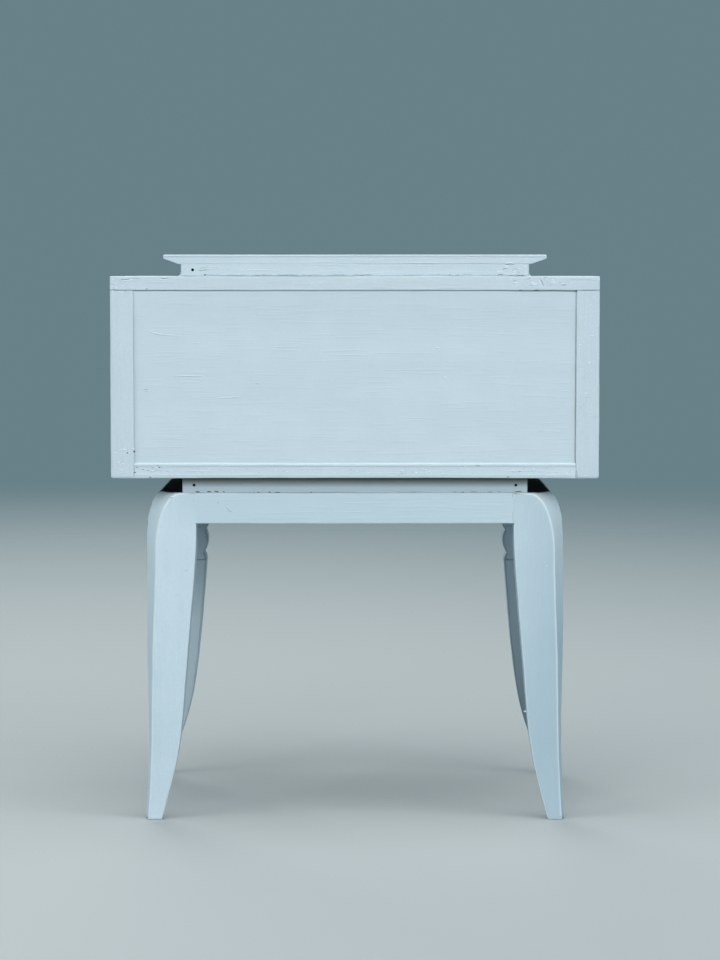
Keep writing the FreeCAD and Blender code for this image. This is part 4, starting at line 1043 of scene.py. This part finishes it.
spacerCracks = {
    "firstDash": ((184, 491.7), (187.4, 491.5), (191, 491.6), 0.60, 0.2),
    "darkDash": ((194.6, 491.9), (197.4, 491.8), (200.4, 492.1), 1.30, 0.3),
    "darkDashNext": ((206.6, 491.8), (209, 491.8), (211.4, 492.1), 1.20, 0.3),
    "fallingDash": ((213.8, 491.3), (216.4, 491.6), (219, 492.2), 1.10, 0.3),
    "tick": ((222.6, 491.4), (223.6, 491.7), (224.8, 492.3), 0.90, 0.3),
    "hairline": ((229, 492.2), (238, 492.0), (248, 492.2), 0.16, 0.1),
    "dot": ((249, 492.1), (249.8, 492.0), (250.8, 492.2), 0.5, 0.2),
    "dotNext": ((253, 491.9), (253.8, 491.8), (254.6, 492.0), 0.5, 0.2),
    "shortDash": ((256.8, 492.3), (258.2, 492.2), (259.8, 492.4), 0.8, 0.2),
    "shortDashNext": ((268.2, 492.2), (269.4, 492.1), (270.8, 492.4), 0.8, 0.2),
    "flatDash": ((274.2, 492.4), (277.2, 492.3), (280.6, 492.3), 0.7, 0.2),
    "middleHairline": ((290, 492.2), (330, 492.0), (372, 492.2), 0.14, 0.1),
    "middleDash": ((309.8, 492.2), (311, 492.1), (312.6, 492.3), 0.5, 0.2),
    "rightHairline": ((392, 492.2), (421, 492.0), (450, 492.2), 0.18, 0.1),
    "rightDash": ((451.6, 492.2), (454.6, 492.1), (457.8, 492.4), 0.5, 0.2),
    "rightDot": ((461.4, 492.3), (462.6, 492.2), (464.2, 492.4), 0.6, 0.2),
    "rightFaintDash": ((469.6, 492.0), (473.4, 491.8), (477.6, 492.1), 0.36, 0.1),
    "nearHole": ((487.2, 492.2), (490, 492.0), (493.2, 492.2), 0.5, 0.2),
    "nearHoleNext": ((496.6, 492.0), (499, 491.8), (501.8, 492.1), 0.5, 0.2),
    "lastDash": ((514.6, 491.8), (517.6, 491.6), (520.8, 491.8), 1.0, 0.3),
    "lastTick": ((519.4, 491.4), (520.6, 491.1), (521.8, 491.6), 0.9, 0.3),
}
# The joint under the plinth block: open in places, from one end of the block to the other
plinthJoint = {"row": 274.9, "from": 200, "to": 527, "pieces": 13, "gap": 2, "width": (0.12, 0.40),
               "rowSpread": 0.18}
# Where the paint is rough: small dabs and flecks, half of them raised and half dark, strewn over a rectangle
# of the picture between two corners; lengths in pixels, widths in millimetres
roughPatches = {
    "blockRightEnd": {"on": "block", "corners": ((495, 264), (527, 274)), "count": 16},
    "topBoardRight": {"on": "board", "corners": ((508, 279.5), (572, 286.5)), "count": 34},
    "topBoardLeft": {"on": "board", "corners": ((113, 279.5), (134, 288)), "count": 12},
    "quirkLeft": {"on": "board", "corners": ((137, 467), (180, 472)), "count": 14},
    "bottomBoard": {"on": "board", "corners": ((180, 467), (572, 474)), "count": 60},
    "stileFoot": {"on": "board", "corners": ((114, 446), (133, 476)), "count": 16},
    "rightStile": {"on": "board", "corners": ((580, 292), (597, 476)), "count": 40},
}
fleck = {"length": (0.8, 3.2), "tilt": 0.25, "ridgeWidth": (0.7, 1.3), "ridgeHeight": 0.22,
         "crackWidth": (0.06, 0.16)}
# The form of every mark: how it thins to its ends, and how a wandering one sways, swells and narrows
markShape = {"sides": 8, "rings": 12, "ends": 0.004, "thinning": 0.55, "sway": (13, 31), "secondSway": 0.6,
             "swelling": 23, "swell": 0.35}


def bentTubes(lines, y, wander, p=markShape):
    # each mark is a flat closed tube along the curve (1 - t)^2 a + 2 t (1 - t) b + t^2 c, with an elliptic
    # section of half its width and its height, thinning to both ends as a power of 4 t (1 - t). A wandering
    # line leaves that curve by two sine waves, and swells and narrows by another
    sides, rings = p["sides"], p["rings"]
    t = np.linspace(p["ends"], 1 - p["ends"], rings)[:, None]
    turn = np.linspace(0, 2 * np.pi, sides, endpoint=False)
    phases = np.random.default_rng(5).uniform(0, 2 * np.pi, (len(lines), 3))
    pointSets, faces, count = [], [], 0
    for line, phase in zip(lines, phases):
        width, height = (*line[3:], crackHeight)[:2]
        a, b, c = sideBySide(*onFace(line[:3], y))
        b = 2 * b - (a + c) / 2
        curve = (1 - t) ** 2 * a + 2 * t * (1 - t) * b + t ** 2 * c
        tangent = np.gradient(curve, axis=0)
        tangent /= np.linalg.norm(tangent, axis=1, keepdims=True)
        normal = sideBySide(-tangent[:, 1], tangent[:, 0])
        first, second = p["sway"]
        sway = np.sin(first * t + phase[0]) + p["secondSway"] * np.sin(second * t + phase[1])
        curve = curve + normal * sway * wander * mm
        swell = p["swell"] * np.sin(p["swelling"] * t + phase[2]) if wander else 0
        thin = (4 * t * (1 - t)) ** p["thinning"] * (1 + swell)
        across = width * mm / 2 * thin * np.cos(turn)
        up = height * mm * thin * np.sin(turn)
        pointSets.append(np.stack([curve[:, :1] + normal[:, :1] * across, y + up,
                                   curve[:, 1:] + normal[:, 1:] * across], axis=-1).reshape(-1, 3))
        faces.append(np.concatenate([gridQuads(rings, sides, count, closed=True), endLadder(sides, count),
                                     endLadder(sides, count + (rings - 1) * sides)[:, ::-1]]))
        count += rings * sides
    return np.concatenate(pointSets), [np.concatenate(faces)]


def strewnFlecks(surface, random, p=fleck):
    # two lists of short lines, raised ones and dark ones
    raised, dark = [], []
    for patch in roughPatches.values():
        if patch["on"] != surface:
            continue
        low, high = np.array(patch["corners"])
        for number in range(patch["count"]):
            middle = random.uniform(low, high)
            half = random.uniform(*p["length"]) / 2
            tilt = random.uniform(-p["tilt"], p["tilt"], 2) * half
            ends = middle - (half, tilt[0]), middle, middle + (half, tilt[1])
            if number % 2:
                dark.append((*ends, random.uniform(*p["crackWidth"])))
            else:
                raised.append((*ends, random.uniform(*p["ridgeWidth"]), p["ridgeHeight"]))
    return raised, dark


def makeMarks(p=plinthJoint):
    random = np.random.default_rng(11)
    edges = np.linspace(p["from"], p["to"], p["pieces"] + 1)
    joints = []
    for start, end in zip(edges[:-1], edges[1:]):
        rows = p["row"] + random.uniform(-1, 1, 3) * p["rowSpread"]
        joints.append(((start, rows[0]), ((start + end) / 2, rows[1]), (end - p["gap"], rows[2]),
                       random.uniform(*p["width"])))
    boardRaised, boardDark = strewnFlecks("board", random)
    blockRaised, blockDark = strewnFlecks("block", random)
    for name, lines, y, material, wander in (
            ("panelRidges", [*panelMarks.values()], panelHigh[1], paintX, 0),
            ("panelCracks", [*panelCracks.values()], panelHigh[1], grimeAndShadowLine, 0.1),
            ("boardRidges", [*boardMarks.values()] + boardRaised, caseRear, dabsPaintedLight, 0),
            ("boardCracks", [*boardCracks.values()] + boardDark, caseRear, grimeAndShadowLine, 0.12),
            ("blockRidges", [*blockMarks.values()] + blockRaised, blockHigh[1], dabsPaintedLight, 0),
            ("blockCracks", [*blockCracks.values()] + blockDark + joints, blockHigh[1], grimeAndShadowLine, 0.12),
            ("frameRidges", [*frameMarks.values()], frameRear, paintZ, 0),
            ("frameCracks", [*frameCracks.values()], frameRear, grimeAndShadowLine, 0.08),
            ("spacerCracks", [*spacerCracks.values()], spacerHigh[1], grimeAndShadowLine, 0.12)):
        addPiece(name, *bentTubes(lines, y, wander), [material])
    print("marks made")


makeCase()
makeBottom()
makePanel()
makePlate()
makeLegs()
makeRails()
dressSolids()
makeKnobs()
makeMarks()

# Light like that of an overcast sky: a very broad soft one from high behind the camera with a wing at each
# side, one overhead that catches upper edges, and a weaker one for the front. Metres and watts
lightColour = "#FFF9F5"
lights = {
    "skyBehind": {"place": (-0.4, 5.0, 3.55), "aim": (0, 0.1, 0.35), "size": (6.0, 4.6), "power": 142},
    "skyLeftWing": {"place": (4.7, 3.0, 2.9), "aim": (0, 0.1, 0.35), "size": (3.6, 3.6), "power": 120},
    "skyRightWing": {"place": (-4.7, 3.0, 2.9), "aim": (0, 0.1, 0.35), "size": (3.6, 3.6), "power": 120},
    "overhead": {"place": (-0.1, 0.5, 4.1), "aim": (0, 0.12, 0.4), "size": (3.6, 3.0), "power": 95},
    "frontFill": {"place": (1.2, -4.6, 2.3), "aim": (0, 0, 0.35), "size": (3.0, 2.5), "power": 90},
}
studio = {"background": "#90B0BA", "strength": 0.5, "floor": "#A8B2B5", "floorRoughness": 0.85,
          "rings": (0.4, 1.0, 2.0, 3.5, 6.0), "around": 96, "fadeStart": 0.9, "fadeEnd": 4.8}


def makeLights():
    for name, p in lights.items():
        data = bpy.data.lights.new(name, "AREA")
        data.shape = "RECTANGLE"
        data.size, data.size_y = p["size"]
        data.energy = p["power"]
        data.color = hexToLinear(lightColour)[:3]
        lamp = bpy.data.objects.new(name, data)
        way = np.array(p["place"]) - np.array(p["aim"])
        way /= np.linalg.norm(way)
        lamp.location = p["place"]
        lamp.rotation_euler = (math.acos(way[2]), 0, math.atan2(way[1], way[0]) + math.pi / 2)
        bpy.context.scene.collection.objects.link(lamp)
    world = bpy.data.worlds.new("studio")
    world.use_nodes = True
    world.node_tree.nodes["Background"].inputs["Color"].default_value = hexToLinear(studio["background"])
    world.node_tree.nodes["Background"].inputs["Strength"].default_value = studio["strength"]
    bpy.context.scene.world = world
    print("lights placed")


def makeFloor(p=studio):
    # a round sheet that fades into the background with distance, so that no edge or horizon shows
    turn = np.linspace(0, 2 * np.pi, p["around"], endpoint=False)
    rings = np.array(p["rings"])
    points = np.stack([rings[:, None] * np.cos(turn), rings[:, None] * np.sin(turn),
                       np.zeros((len(rings), len(turn)))], axis=-1).reshape(-1, 3)
    quads = gridQuads(len(rings), len(turn), closed=True)
    mesh = bpy.data.meshes.new("studioFloor")
    mesh.from_pydata(points.tolist(), [], quads[:, ::-1].tolist() + [list(range(len(turn)))])
    material, tree = newMaterial("mattPaperFloor")
    place = addNode(tree, "ShaderNodeTexCoord").outputs["Object"]
    distance = addNode(tree, "ShaderNodeVectorMath", {0: place}, operation="LENGTH").outputs["Value"]
    fade = remap(tree, distance, p["fadeStart"], p["fadeEnd"], 1.0, 0.0, interpolation_type="SMOOTHSTEP")
    addShader(tree, {"Base Color": hexToLinear(p["floor"]), "Roughness": p["floorRoughness"], "Alpha": fade})
    mesh.materials.append(material)
    floor = bpy.data.objects.new("studioFloor", mesh)
    bpy.context.scene.collection.objects.link(floor)
    print("floor laid")


makeCamera()
makeLights()
makeFloor()
bpy.context.scene.view_settings.view_transform = "Standard"
bpy.context.scene.view_settings.look = "None"
